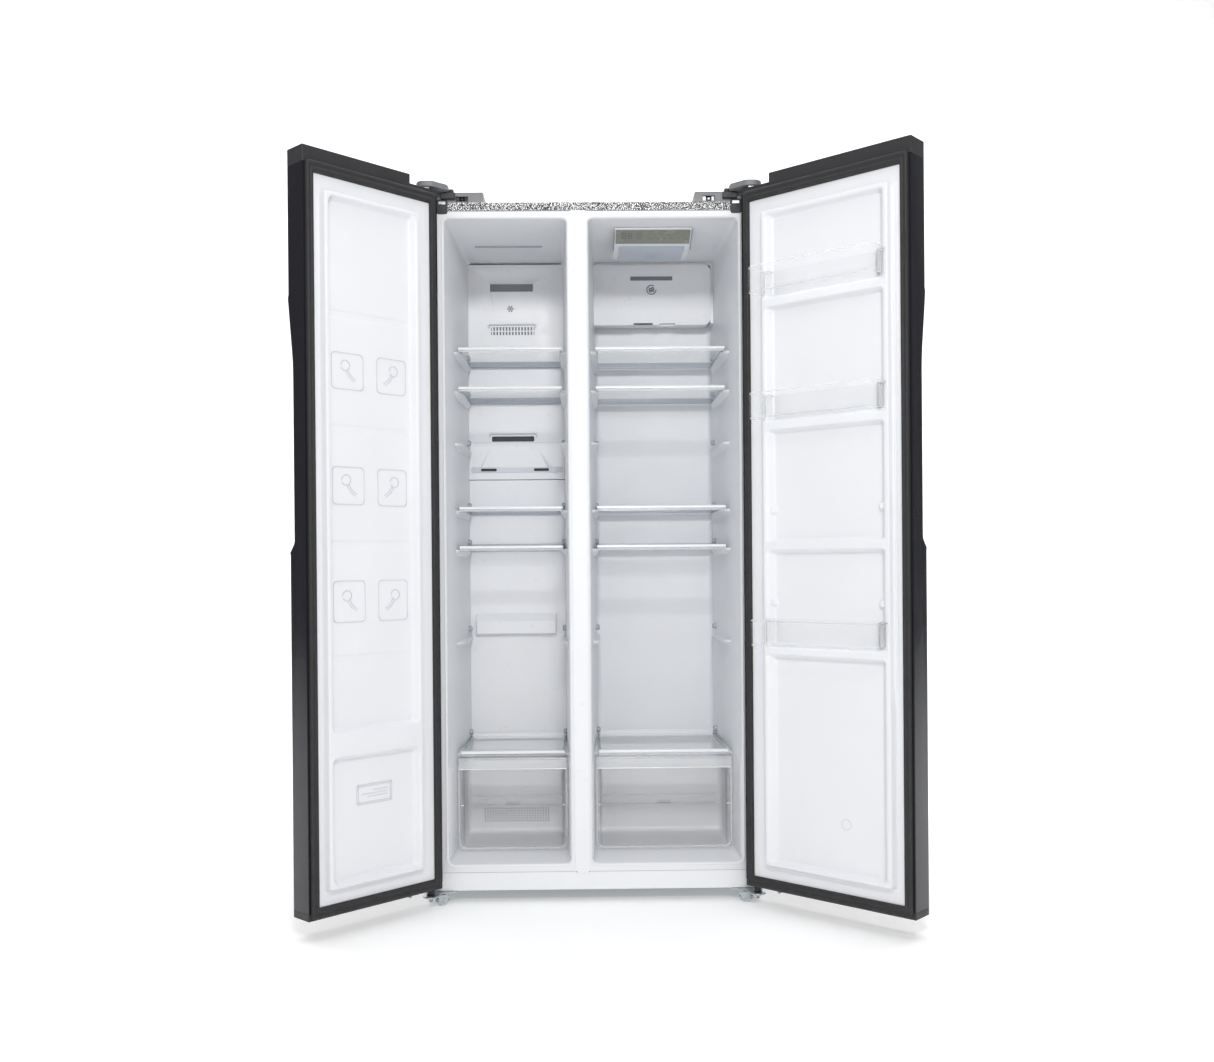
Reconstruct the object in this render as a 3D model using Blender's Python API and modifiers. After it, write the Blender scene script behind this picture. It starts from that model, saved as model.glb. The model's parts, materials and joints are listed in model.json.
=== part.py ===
"""Side-by-side refrigerator, both doors swung open.

The cabinet is drawn about its own front: x runs across from the centre, y runs back from the
front face, z runs up from the floor. An empty then moves it all, so that the origin lies on the
floor in the middle of the open refrigerator's footprint.
"""

from math import cos, pi, radians, sin

import bmesh
import bpy
from mathutils import Matrix

# ---------------------------------------------------------------- driving dimensions, metres
WIDTH = 0.833
BASE_Z = 0.030
SHELL_TOP = 1.731
FIELD_Y = (0.115, 0.565)
FIELD_RISE = 0.0015
SHEET = 0.0012
GAP = 0.0003

FLANGE_FRONT = 0.0005
FLANGE_BACK = 0.0025
RETURN_FRONT = 0.0030
FLANGE_LOW = 0.0748
FLANGE_HIGH = 1.7107
FLANGE_SPLIT = -0.0285
LINER = 0.0016
LINER_DRAFT = 0.0363
LINER_BACK = 0.4985
LINER_CORNER = 0.013
OPENING_Z = (0.094, 1.692)
FREEZER_X = (-0.360, -0.057)
FRIDGE_X = (-0.004, 0.369)
STEP_Y = 0.360
STEP_Z = 0.290
FOAM_GAP = 0.0005

WALL_Y = 0.400
WALL_Z = 0.250
BACK_Y = 0.5785

SHELF_LEVELS = (1.398, 1.296, 0.984, 0.882)
SHELF_FRONT = 0.150
COVER_FRONT = 0.140
COVER_Z = 0.349
FREEZER_SHELF_X = (-0.3425, -0.0745)
FRIDGE_SHELF_X = (0.015, 0.350)
FREEZER_SHELF_BACK = 0.430
FRIDGE_SHELF_BACK = 0.460
RIB_IN = 0.0065

DUCT_Y = 0.434
DUCT_WALL = 0.0025
DUCT_DEEP = 0.036

DRAWER_Z = (0.101, 0.336)
DRAWER_Y = (0.132, 0.352)
DRAWER_WALL = 0.0025

DOOR_THICK = 0.065
DOOR_Z = (0.048, 1.770)
NOTCH_Z = 1.748
NOTCH_LONG = 0.080
PIVOT_IN = 0.0165
PIVOT_FORWARD = 0.0368
PIVOT_TO_INNER = 0.0250
PIN_HOLE_R = 0.0045
FREEZER_DOOR_WIDE = 0.375
FRIDGE_DOOR_WIDE = 0.452
FREEZER_DOOR_OPEN = 134.6
FRIDGE_DOOR_OPEN = 137.3
DOOR_SHEET = 0.0010
HINGE_EDGE_ROUND = 0.012
FREE_EDGE_ROUND = 0.006
BOTTOM_CAP = 0.0162
TOP_CAP_Z = 1.732
DYKE = 0.018
DYKE_WIDE = 0.014
POCKET_DEEP = 0.020
POCKET_WIDE = 0.030
POCKET_WALL = 0.002
POCKET_Z = (0.864, 0.888, 1.288, 1.443)
BIN_REACH = 0.087
BIN_WALL = 0.0025
BIN_ROUND = 0.020
BIN_LEVELS = ((1.468, 1.530), (1.173, 1.235), (0.640, 0.702))

FOOT_X, FOOT_Y = 0.380, 0.022
ROLLER_X, ROLLER_Y, ROLLER_R = 0.360, 0.545, 0.0125
FAN_X, FAN_Z, FAN_R = -0.2085, 1.300, 0.055
INLET_BACK = 0.5865

FREEZER_PIVOT_X = -WIDTH / 2 + PIVOT_IN
FRIDGE_PIVOT_X = WIDTH / 2 - PIVOT_IN
SHEET_X = WIDTH / 2 - SHEET - GAP


# ---------------------------------------------------------------- helpers
def clear_scene():
    for obj in list(bpy.data.objects):
        bpy.data.objects.remove(obj, do_unlink=True)


def new_collection(name):
    collection = bpy.data.collections.new(name)
    bpy.context.scene.collection.children.link(collection)
    return collection


clear_scene()
PARTS = new_collection("side_by_side_refrigerator")
CUTTERS = new_collection("cutters")
CUTTERS.hide_render = True


def material(name, colour, roughness, metallic=0.0, alpha=1.0):
    made = bpy.data.materials.new(name)
    made.use_nodes = True
    shader = made.node_tree.nodes["Principled BSDF"]
    shader.inputs["Base Color"].default_value = (*colour, 1.0)
    shader.inputs["Roughness"].default_value = roughness
    shader.inputs["Metallic"].default_value = metallic
    shader.inputs["Alpha"].default_value = alpha
    made.diffuse_color = (*colour, alpha)
    return made


WHITE = material("white_plastic", (0.86, 0.87, 0.89), 0.35)
CLEAR = material("clear_plastic", (0.85, 0.90, 0.93), 0.10, alpha=0.35)
GLASS = material("shelf_glass", (0.80, 0.88, 0.92), 0.08, alpha=0.4)
CHARCOAL = material("charcoal_plastic", (0.045, 0.045, 0.050), 0.45)
DOOR_PAINT = material("door_paint", (0.012, 0.013, 0.020), 0.12)
SIDE_PAINT = material("side_paint", (0.055, 0.057, 0.062), 0.40)
STUCCO = material("stucco_steel", (0.45, 0.47, 0.49), 0.35, 0.9)
ZINC = material("zinc_steel", (0.48, 0.56, 0.58), 0.35, 0.9)
GREY = material("grey_plastic", (0.17, 0.18, 0.18), 0.45)
BLACK = material("black_paint", (0.015, 0.015, 0.016), 0.35)
FOAM = material("insulation_foam", (0.80, 0.72, 0.42), 0.90)
RUBBER = material("gasket_rubber", (0.035, 0.035, 0.038), 0.60)
LENS = material("lamp_lens", (0.75, 0.80, 0.88), 0.25, alpha=0.6)
DISPLAY = material("display_face", (0.45, 0.46, 0.40), 0.30)
ALUMINIUM = material("bare_aluminium", (0.70, 0.71, 0.72), 0.35, 0.9)


def empty(name, location, parent=None, turn=0.0):
    made = bpy.data.objects.new(name, None)
    PARTS.objects.link(made)
    made.parent = parent
    made.location = location
    made.rotation_euler = (0.0, 0.0, turn)
    return made


def place(name, mesh, finish, parent):
    made = bpy.data.objects.new(name, mesh)
    PARTS.objects.link(made)
    made.parent = parent
    if finish is None:
        as_cutter(made)
    else:
        mesh.materials.append(finish)
    return made


def as_cutter(obj):
    PARTS.objects.unlink(obj)
    CUTTERS.objects.link(obj)
    obj.hide_render = True
    obj.display_type = "WIRE"


def mesh_of(name, made):
    bmesh.ops.recalc_face_normals(made, faces=made.faces)
    mesh = bpy.data.meshes.new(name)
    made.to_mesh(mesh)
    made.free()
    return mesh


def round_edges(obj, radius, segments=2):
    bevel = obj.modifiers.new("round", "BEVEL")
    bevel.width = radius
    bevel.segments = segments
    bevel.limit_method = "ANGLE"
    return obj


def block(name, x, y, z, finish=None, parent=None, rounding=0.0):
    """A box between the given limits; with no finish it is a cutter."""
    made = bmesh.new()
    middle = Matrix.Translation([(low + high) / 2 for low, high in (x, y, z)])
    size = Matrix.Diagonal([high - low for low, high in (x, y, z)] + [1.0])
    bmesh.ops.create_cube(made, size=1.0, matrix=middle @ size)
    obj = place(name, mesh_of(name, made), finish, parent)
    return round_edges(obj, rounding) if rounding else obj


PLANES = {
    "XY": Matrix.Identity(4),
    "YZ": Matrix(((0, 0, 1, 0), (1, 0, 0, 0), (0, 1, 0, 0), (0, 0, 0, 1))),
    "XZ": Matrix(((1, 0, 0, 0), (0, 0, -1, 0), (0, 1, 0, 0), (0, 0, 0, 1))),
}


def outline_mesh(name, points, low, high, plane):
    """A flat outline given thickness between low and high across its plane."""
    curve = bpy.data.curves.new(name, "CURVE")
    curve.dimensions = "2D"
    curve.fill_mode = "BOTH"
    curve.extrude = (high - low) / 2
    spline = curve.splines.new("POLY")
    spline.points.add(len(points) - 1)
    for point, (u, v) in zip(spline.points, points):
        point.co = (u, v, 0.0, 1.0)
    spline.use_cyclic_u = True
    guide = bpy.data.objects.new(name, curve)
    bpy.context.scene.collection.objects.link(guide)
    graph = bpy.context.evaluated_depsgraph_get()
    mesh = bpy.data.meshes.new_from_object(guide.evaluated_get(graph))
    bpy.data.objects.remove(guide, do_unlink=True)
    middle = (low + high) / 2
    shift = {"XY": (0, 0, middle), "YZ": (middle, 0, 0), "XZ": (0, middle, 0)}[plane]
    mesh.transform(Matrix.Translation(shift) @ PLANES[plane])
    made = bmesh.new()
    made.from_mesh(mesh)
    bpy.data.meshes.remove(mesh)
    bmesh.ops.remove_doubles(made, verts=made.verts, dist=1e-6)
    return made


def outline(name, points, low, high, plane, finish=None, parent=None):
    made = outline_mesh(name, points, low, high, plane)
    return place(name, mesh_of(name, made), finish, parent)


def cylinder(name, centre, radius, length, axis, finish=None, parent=None, sides=24):
    made = bmesh.new()
    turn = {"X": Matrix.Rotation(pi / 2, 4, "Y"), "Y": Matrix.Rotation(pi / 2, 4, "X")}
    bmesh.ops.create_cone(
        made,
        cap_ends=True,
        segments=sides,
        radius1=radius,
        radius2=radius,
        depth=length,
        matrix=Matrix.Translation(centre) @ turn.get(axis, Matrix.Identity(4)),
    )
    return place(name, mesh_of(name, made), finish, parent)


def turned(name, profile, finish=None, parent=None, steps=24):
    """A profile of (radius, height) from top to bottom, turned about the object's own Z."""
    made = bmesh.new()
    rim = [made.verts.new((radius, 0.0, height)) for radius, height in profile]
    for above, below in zip(rim, rim[1:]):
        made.edges.new((above, below))
    mesh = bpy.data.meshes.new(name)
    made.to_mesh(mesh)
    made.free()
    obj = place(name, mesh, finish, parent)
    screw = obj.modifiers.new("turn", "SCREW")
    screw.steps = steps
    screw.render_steps = steps
    screw.use_merge_vertices = True
    screw.merge_threshold = 0.00001
    return obj


def combine(obj, others, operation):
    for other in others:
        if other.name not in CUTTERS.objects:
            as_cutter(other)
        change = obj.modifiers.new(operation.lower(), "BOOLEAN")
        change.operation = operation
        change.object = other
    return obj


def cut(obj, *cutters):
    return combine(obj, cutters, "DIFFERENCE")


def join(obj, *others):
    return combine(obj, others, "UNION")


def arc(centre, radius, start, end, steps=4):
    """Points from one angle in degrees to another about a centre."""
    turns = [radians(start + (end - start) * step / steps) for step in range(steps + 1)]
    return [(centre[0] + radius * cos(t), centre[1] + radius * sin(t)) for t in turns]


# ---------------------------------------------------------------- outer cabinet
def side_panel(name, side, parent):
    """A folded sheet with a return behind the liner's flange and one in front of the back."""
    outer = WIDTH / 2
    inner = outer - SHEET
    front_return = outer - 0.022
    back_return = outer - 0.016
    back = BACK_Y - GAP
    points = [
        (outer, SHEET + GAP),
        (outer, back),
        (back_return, back),
        (back_return, back - SHEET),
        (inner, back - SHEET),
        (inner, RETURN_FRONT + SHEET),
        (front_return, RETURN_FRONT + SHEET),
        (front_return, RETURN_FRONT),
        (inner, RETURN_FRONT),
        (inner, SHEET + GAP),
    ]
    points = [(side * x, y) for x, y in points]
    top = SHELL_TOP - SHEET - GAP
    outline(name, points, BASE_Z, top, "XY", SIDE_PAINT, parent)


def outer_cabinet(parent):
    """Side sheets, a top with a pressed field behind the hinges, the back and the front trims."""
    side_panel("side_panel_left", -1, parent)
    side_panel("side_panel_right", 1, parent)
    back = BACK_Y + SHEET
    low, high = FIELD_Y
    field = [
        (low - 0.003, SHELL_TOP),
        (low, SHELL_TOP + FIELD_RISE),
        (high, SHELL_TOP + FIELD_RISE),
        (high + 0.003, SHELL_TOP),
    ]
    outside = [(0.0, SHELL_TOP)] + field + [(back, SHELL_TOP)]
    under = [(y, z - SHEET) for y, z in reversed(outside)]
    under[-1] = (SHEET, SHELL_TOP - SHEET)
    top = [(0.0, FLANGE_HIGH + GAP)] + outside + under + [(SHEET, FLANGE_HIGH + GAP)]
    outline("top_panel", top, -WIDTH / 2, WIDTH / 2, "YZ", STUCCO, parent)
    back_z = (WALL_Z + 0.010, SHELL_TOP - SHEET - GAP)
    block("back_panel", (-SHEET_X, SHEET_X), (BACK_Y, back), back_z, ZINC, parent)
    rail_z = (BASE_Z + GAP, FLANGE_LOW - GAP)
    rail_y = (FLANGE_FRONT, FLANGE_BACK)
    block("bottom_rail", (-SHEET_X, SHEET_X), rail_y, rail_z, WHITE, parent)
    strip_y = (-0.0015, FLANGE_FRONT - GAP)
    strip_z = (0.071, FLANGE_HIGH)
    block("mullion_strip", (-0.047, -0.0095), strip_y, strip_z, WHITE, parent)


def base_pan(parent):
    """Floor sheet folded up and back as the compressor bay's wall, with ears for the rollers."""
    back = BACK_Y - GAP - SHEET - GAP
    sheet = [
        (RETURN_FRONT + SHEET + GAP, BASE_Z),
        (back, BASE_Z),
        (back, BASE_Z + SHEET),
        (WALL_Y + SHEET, BASE_Z + SHEET),
        (WALL_Y + SHEET, WALL_Z - SHEET),
        (back, WALL_Z - SHEET),
        (back, WALL_Z),
        (WALL_Y, WALL_Z),
        (WALL_Y, BASE_Z + SHEET),
        (RETURN_FRONT + SHEET + GAP, BASE_Z + SHEET),
    ]
    pan = outline("base_pan", sheet, -SHEET_X, SHEET_X, "YZ", ZINC, parent)
    ears = []
    for side in (-1, 1):
        for reach in (0.007, -0.009):
            low = side * ROLLER_X + reach
            ear = block(
                f"roller_ear_{side}_{reach}",
                (low, low + 0.002),
                (ROLLER_Y - 0.010, ROLLER_Y + 0.010),
                (0.006, BASE_Z + SHEET / 2),
                parent=parent,
            )
            ears.append(ear)
    join(pan, *ears)
    axle = cylinder(
        "axle_cut", (0, ROLLER_Y, ROLLER_R), 0.0034, WIDTH, "X", parent=parent, sides=16
    )
    cut(pan, axle)


# ---------------------------------------------------------------- liners and insulation
def cavity_mesh(name, opening, front, grow):
    """The room behind one opening: it narrows towards the back and steps over the bay."""
    low_z = OPENING_Z[0] - grow
    high_z = OPENING_Z[1] + grow
    back = LINER_BACK + grow
    side = [
        (front, low_z),
        (STEP_Y + grow, low_z),
        (STEP_Y + grow, STEP_Z - grow),
        (back, STEP_Z - grow),
        (back, high_z),
        (front, high_z),
    ]
    made = outline_mesh(name, side, opening[0] - grow, opening[1] + grow, "YZ")
    bmesh.ops.dissolve_limit(
        made, angle_limit=radians(0.5), verts=made.verts, edges=made.edges
    )
    middle = sum(opening) / 2
    for vert in made.verts:
        inset = LINER_DRAFT * vert.co.y
        vert.co.x += inset if vert.co.x < middle else -inset
    kept = [
        edge
        for edge in made.edges
        if any(vert.co.y > front + 0.001 for vert in edge.verts)
    ]
    bmesh.ops.bevel(
        made,
        geom=kept,
        offset=LINER_CORNER + grow,
        segments=2,
        profile=0.5,
        affect="EDGES",
    )
    return made


def cavity(name, opening, front, grow, finish=None, parent=None):
    made = cavity_mesh(name, opening, front, grow)
    return place(name, mesh_of(name, made), finish, parent)


def shelf_ribs(name, opening, shelf_x, back, parent):
    """Blocks kept out of the cavity's cutter, which leaves ribs on the liner's side walls."""
    ribs = []
    for level in SHELF_LEVELS + (COVER_Z,):
        for wall, edge, inward in (
            (opening[0], shelf_x[0], 1),
            (opening[1], shelf_x[1], -1),
        ):
            x = sorted((wall - 0.01 * inward, edge + RIB_IN * inward))
            z = (level - 0.013, level - 0.0055)
            y = (SHELF_FRONT + 0.020, back - 0.010)
            ribs.append(block(f"{name}_rib_{level}_{inward}", x, y, z, parent=parent))
    return ribs


def liner(name, opening, flange_x, shelf_x, shelf_back, parent):
    shell = cavity(name, opening, FLANGE_FRONT, LINER, WHITE, parent)
    flange = block(
        f"{name}_flange",
        flange_x,
        (FLANGE_FRONT, FLANGE_BACK),
        (FLANGE_LOW, FLANGE_HIGH),
        parent=parent,
    )
    join(shell, flange)
    room = cavity(f"{name}_room", opening, -0.020, 0.0, parent=parent)
    cut(room, *shelf_ribs(name, opening, shelf_x, shelf_back, parent))
    cut(shell, room)


def insulation(parent):
    edge = WIDTH / 2 - SHEET - FOAM_GAP
    foam_y = (RETURN_FRONT + SHEET + FOAM_GAP, BACK_Y - SHEET - 2 * FOAM_GAP - GAP)
    foam_z = (BASE_Z + SHEET + FOAM_GAP, SHELL_TOP - SHEET - FOAM_GAP)
    foam = block("cabinet_foam", (-edge, edge), foam_y, foam_z, FOAM, parent)
    for name, opening in (("freezer", FREEZER_X), ("fridge", FRIDGE_X)):
        room = cavity(
            f"{name}_foam_room", opening, -0.020, LINER + FOAM_GAP, parent=parent
        )
        cut(foam, room)
    bay = block(
        "bay_room",
        (-WIDTH, WIDTH),
        (WALL_Y - FOAM_GAP, BACK_Y + 0.1),
        (0.0, WALL_Z + FOAM_GAP),
        parent=parent,
    )
    cut(foam, bay)


# ---------------------------------------------------------------- air ducts and lighting
def vents(name, x, y, z, count, parent):
    """A row of upright slots between the limits, as wide as the bars between them."""
    pitch = (x[1] - x[0]) / (2 * count - 1)
    slots = []
    for index in range(count):
        low = x[0] + 2 * index * pitch
        slots.append(block(f"{name}_{index}", (low, low + pitch), y, z, parent=parent))
    return slots


def freezer_covers(parent):
    x = (-0.3415, -0.0755)
    inner_x = (x[0] + DUCT_WALL, x[1] - DUCT_WALL)
    deep = (DUCT_Y, DUCT_Y + DUCT_DEEP)
    hollow = (DUCT_Y + DUCT_WALL, DUCT_Y + DUCT_DEEP + 0.01)
    through = (DUCT_Y - 0.01, DUCT_Y + DUCT_WALL + 0.001)

    upper_z = (1.079, 1.679)
    upper = block("freezer_duct_cover", x, deep, upper_z, WHITE, parent)
    inner_z = (upper_z[0] + DUCT_WALL, upper_z[1] - DUCT_WALL)
    cut(upper, block("duct_hollow", inner_x, hollow, inner_z, parent=parent))
    for name, vent_x, vent_z in (
        ("vent_top", (-0.281, -0.159), (1.610, 1.632)),
        ("vent_low", (-0.279, -0.159), (1.185, 1.200)),
        ("vent_left", (-0.311, -0.266), (1.101, 1.109)),
        ("vent_right", (-0.161, -0.118), (1.101, 1.109)),
    ):
        cut(upper, block(name, vent_x, through, vent_z, parent=parent))
    cut(upper, *vents("grille", (-0.279, -0.156), through, (1.487, 1.510), 6, parent))
    arm_x = (FAN_X - 0.012, FAN_X + 0.012)
    arm_y = (0.466, 0.4695)
    arm = block("motor_arm", arm_x, arm_y, (upper_z[0] + 0.001, FAN_Z), parent=parent)
    shell = cylinder(
        "motor_shell", (FAN_X, 0.480, FAN_Z), 0.026, 0.028, "Y", parent=parent
    )
    shaft = cylinder(
        "motor_shaft",
        (FAN_X, 0.462, FAN_Z),
        0.0030,
        0.028,
        "Y",
        parent=parent,
        sides=16,
    )
    join(upper, arm, shell, shaft)

    lower_z = (0.306, 1.076)
    lower = block("freezer_return_cover", x, deep, lower_z, WHITE, parent)
    inner_z = (lower_z[0] + DUCT_WALL, lower_z[1] - DUCT_WALL)
    hood = block(
        "return_hood",
        (-0.327, -0.100),
        (DUCT_Y - 0.020, DUCT_Y + 0.001),
        (0.640, 0.685),
        parent=parent,
    )
    join(lower, hood)
    mouth = block(
        "return_mouth",
        (-0.324, -0.103),
        (DUCT_Y - 0.0175, DUCT_Y + 0.010),
        (0.630, 0.681),
        parent=parent,
    )
    cut(
        lower, block("return_hollow", inner_x, hollow, inner_z, parent=parent), mouth
    )


def fridge_duct(parent):
    x = (0.0148, 0.345)
    z = (1.514, 1.684)
    y = (0.430, 0.484)
    corner = 0.020
    face = (
        [(x[0], z[0]), (x[1] - corner, z[0])]
        + arc((x[1] - corner, z[0] + corner), corner, -90, 0)
        + arc((x[1] - corner, z[1] - corner), corner, 0, 90)
        + arc((x[0] + corner, z[1] - corner), corner, 90, 180)
    )
    duct = outline("fridge_air_duct", face, *y, "XZ", WHITE, parent)
    hollow = block(
        "fridge_duct_hollow",
        (x[0] + DUCT_WALL, x[1] - 0.010),
        (y[0] + DUCT_WALL, y[1] + 0.01),
        (z[0] + DUCT_WALL, z[1] - DUCT_WALL),
        parent=parent,
    )
    through = (y[0] - 0.01, y[0] + 0.006)
    slot = block("duct_slot", (0.117, 0.236), through, (1.639, 1.651), parent=parent)
    cut(duct, hollow, slot)
    for index, slot_x in enumerate(((0.126, 0.180), (0.200, 0.243))):
        under = (y[0] + 0.010, y[0] + 0.030)
        cut(duct, block(f"under_{index}", slot_x, under, (1.50, 1.518), parent=parent))


def control_unit(parent):
    ceiling = OPENING_Z[1] - 0.0015
    low = 1.662
    front, knee, back = 0.078, 0.130, 0.290
    side = [
        (front, ceiling),
        (front, ceiling - 0.004),
        (knee, low),
        (back, low),
        (back, ceiling),
    ]
    x = (0.064, 0.262)
    outline("control_housing", side, *x, "YZ", WHITE, parent)
    slope = (ceiling - 0.004 - low) / (knee - front)
    lift = 0.0006
    thick = 0.0016
    face_y = (front + 0.003, knee - 0.003)
    face = []
    for y in face_y:
        face.append((y, ceiling - 0.004 - slope * (y - front) - lift))
    for y in reversed(face_y):
        face.append((y, ceiling - 0.004 - slope * (y - front) - lift - thick))
    outline("display_panel", face, x[0] + 0.004, x[1] - 0.004, "YZ", DISPLAY, parent)
    lens_z = (low - 0.0035, low - GAP)
    block("lamp_lens", (0.078, 0.248), (0.150, 0.282), lens_z, LENS, parent, 0.001)


# ---------------------------------------------------------------- shelves and drawers
def shelf(name, x, front, back, level, finish, parent):
    """A plate with a nosing along its front and an upstand along its back."""
    side = [
        (front, level - 0.009),
        (front + 0.010, level - 0.009),
        (front + 0.010, level - 0.002),
        (back, level - 0.002),
        (back, level + 0.012),
        (back - 0.008, level + 0.012),
        (back - 0.008, level + 0.002),
        (front + 0.010, level + 0.002),
        (front + 0.010, level + 0.004),
        (front, level + 0.004),
    ]
    outline(name, side, *x, "YZ", finish, parent)


def shelves(parent):
    for index, level in enumerate(SHELF_LEVELS, 1):
        shelf(
            f"freezer_shelf_{index}",
            FREEZER_SHELF_X,
            SHELF_FRONT,
            FREEZER_SHELF_BACK,
            level,
            GLASS,
            parent,
        )
        shelf(
            f"fridge_shelf_{index}",
            FRIDGE_SHELF_X,
            SHELF_FRONT,
            FRIDGE_SHELF_BACK,
            level,
            GLASS,
            parent,
        )
    for name, x, back in (
        ("freezer_drawer_cover", FREEZER_SHELF_X, FREEZER_SHELF_BACK),
        ("crisper_cover", FRIDGE_SHELF_X, FRIDGE_SHELF_BACK),
    ):
        shelf(name, x, COVER_FRONT, back, COVER_Z, GLASS, parent)


def drawer(name, body_x, front_x, parent):
    """An open tub with a wider front; its empty sits at the middle of the front."""
    runner = empty(
        f"{name}_slide", (sum(front_x) / 2, DRAWER_Y[0], DRAWER_Z[0]), parent
    )
    middle = sum(front_x) / 2
    body = (body_x[0] - middle, body_x[1] - middle)
    face = (front_x[0] - middle, front_x[1] - middle)
    deep = DRAWER_Y[1] - DRAWER_Y[0]
    high = DRAWER_Z[1] - DRAWER_Z[0]
    front_thick = 0.005
    tub = block(name, body, (0.002, deep), (0.002, high), CLEAR, runner)
    front = block(f"{name}_front", face, (0.0, front_thick), (0.0, high), parent=runner)
    join(tub, front)
    room = block(
        f"{name}_room",
        (body[0] + DRAWER_WALL, body[1] - DRAWER_WALL),
        (front_thick, deep - DRAWER_WALL),
        (0.002 + DRAWER_WALL, high + 0.05),
        parent=runner,
        rounding=0.008,
    )
    cut(tub, room)


# ---------------------------------------------------------------- cooling system
def compressor(parent):
    spot = empty("compressor_place", (0.215, 0.487, 0.0), parent)
    shell = [
        (0.0, 0.216),
        (0.032, 0.213),
        (0.055, 0.199),
        (0.068, 0.175),
        (0.072, 0.148),
        (0.072, 0.095),
        (0.064, 0.062),
        (0.045, 0.050),
        (0.0, 0.050),
    ]
    body = turned("compressor", shell, BLACK, spot)
    plate = block(
        "compressor_plate", (-0.095, 0.095), (-0.050, 0.050), (0.046, 0.052), parent=spot
    )
    join(body, plate)
    for x in (-0.082, 0.082):
        for y in (-0.038, 0.038):
            foot = cylinder(
                f"compressor_foot_{x}_{y}",
                (x, y, 0.0395),
                0.010,
                0.0150,
                "Z",
                parent=spot,
                sides=16,
            )
            join(body, foot)


def evaporator(parent):
    """Fins standing on a common back plate."""
    fins = 16
    low, high = -0.325, -0.092
    root, back, tip = 0.488, 0.4975, 0.4475
    pitch = (high - low) / (2 * fins - 1)
    points = [(low, back)]
    for index in range(fins):
        left = low + 2 * index * pitch
        if index:
            points.append((left, root))
        points.append((left, tip))
        points.append((left + pitch, tip))
        if index < fins - 1:
            points.append((left + pitch, root))
    points.append((high, back))
    outline("evaporator", points, 0.70, 1.05, "XY", ALUMINIUM, parent)


def evaporator_fan(parent):
    spot = empty("fan_axis", (FAN_X, 0.454, FAN_Z), parent)
    ring = [
        (0.0034, 0.008),
        (0.014, 0.008),
        (0.014, -0.008),
        (0.0034, -0.008),
        (0.0034, 0.008),
    ]
    hub = turned("evaporator_fan", ring, BLACK, spot)
    hub.rotation_euler = (pi / 2, 0.0, 0.0)
    for index in range(5):
        blade = block(
            f"fan_blade_{index}",
            (0.012, FAN_R),
            (-0.013, 0.013),
            (-0.0008, 0.0008),
            parent=hub,
        )
        pitch = Matrix.Rotation(radians(24), 4, "X")
        blade.data.transform(Matrix.Rotation(2 * pi * index / 5, 4, "Z") @ pitch)
        join(hub, blade)


def compressor_bay(parent):
    compressor(parent)
    z = (BASE_Z + 0.006, WALL_Z + 0.010 - 2 * GAP)
    y = (BACK_Y, BACK_Y + SHEET)
    cover = block("compartment_cover", (-SHEET_X, SHEET_X), y, z, ZINC, parent)
    rows = 5
    for row in range(rows):
        low = 0.075 + 0.030 * row
        for index, left in enumerate((-0.34, -0.22, -0.10, 0.02)):
            louvre = block(
                f"louvre_{row}_{index}",
                (left, left + 0.09),
                (BACK_Y - 0.01, BACK_Y + 0.01),
                (low, low + 0.008),
                parent=parent,
            )
            cut(cover, louvre)
    inlet_y = (BACK_Y + SHEET + GAP, INLET_BACK)
    inlet = block("power_inlet", (0.270, 0.330), inlet_y, (0.060, 0.100), BLACK, parent, 0.0015)
    gland = cylinder(
        "inlet_hole", (0.300, INLET_BACK, 0.080), 0.008, 0.010, "Y", parent=parent, sides=20
    )
    cut(inlet, gland)


# ---------------------------------------------------------------- feet and rollers
def feet_and_rollers(parent):
    foot = [
        (0.0, 0.0249),
        (0.005, 0.0249),
        (0.005, 0.010),
        (0.017, 0.008),
        (0.018, 0.0),
        (0.0, 0.0),
    ]
    wheel = [
        (0.0, 0.0112),
        (0.003, 0.0112),
        (0.003, 0.006),
        (ROLLER_R, 0.006),
        (ROLLER_R, -0.006),
        (0.003, -0.006),
        (0.003, -0.0112),
        (0.0, -0.0112),
    ]
    for label, side in (("left", -1), ("right", 1)):
        spot = empty(f"foot_axis_{label}", (side * FOOT_X, FOOT_Y, 0.0), parent)
        turned(f"levelling_foot_{label}", foot, BLACK, spot, 20)
        spot = empty(
            f"roller_axis_{label}", (side * ROLLER_X, ROLLER_Y, ROLLER_R), parent
        )
        roller = turned(f"rear_roller_{label}", wheel, BLACK, spot)
        roller.rotation_euler = (0.0, pi / 2, 0.0)


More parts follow.
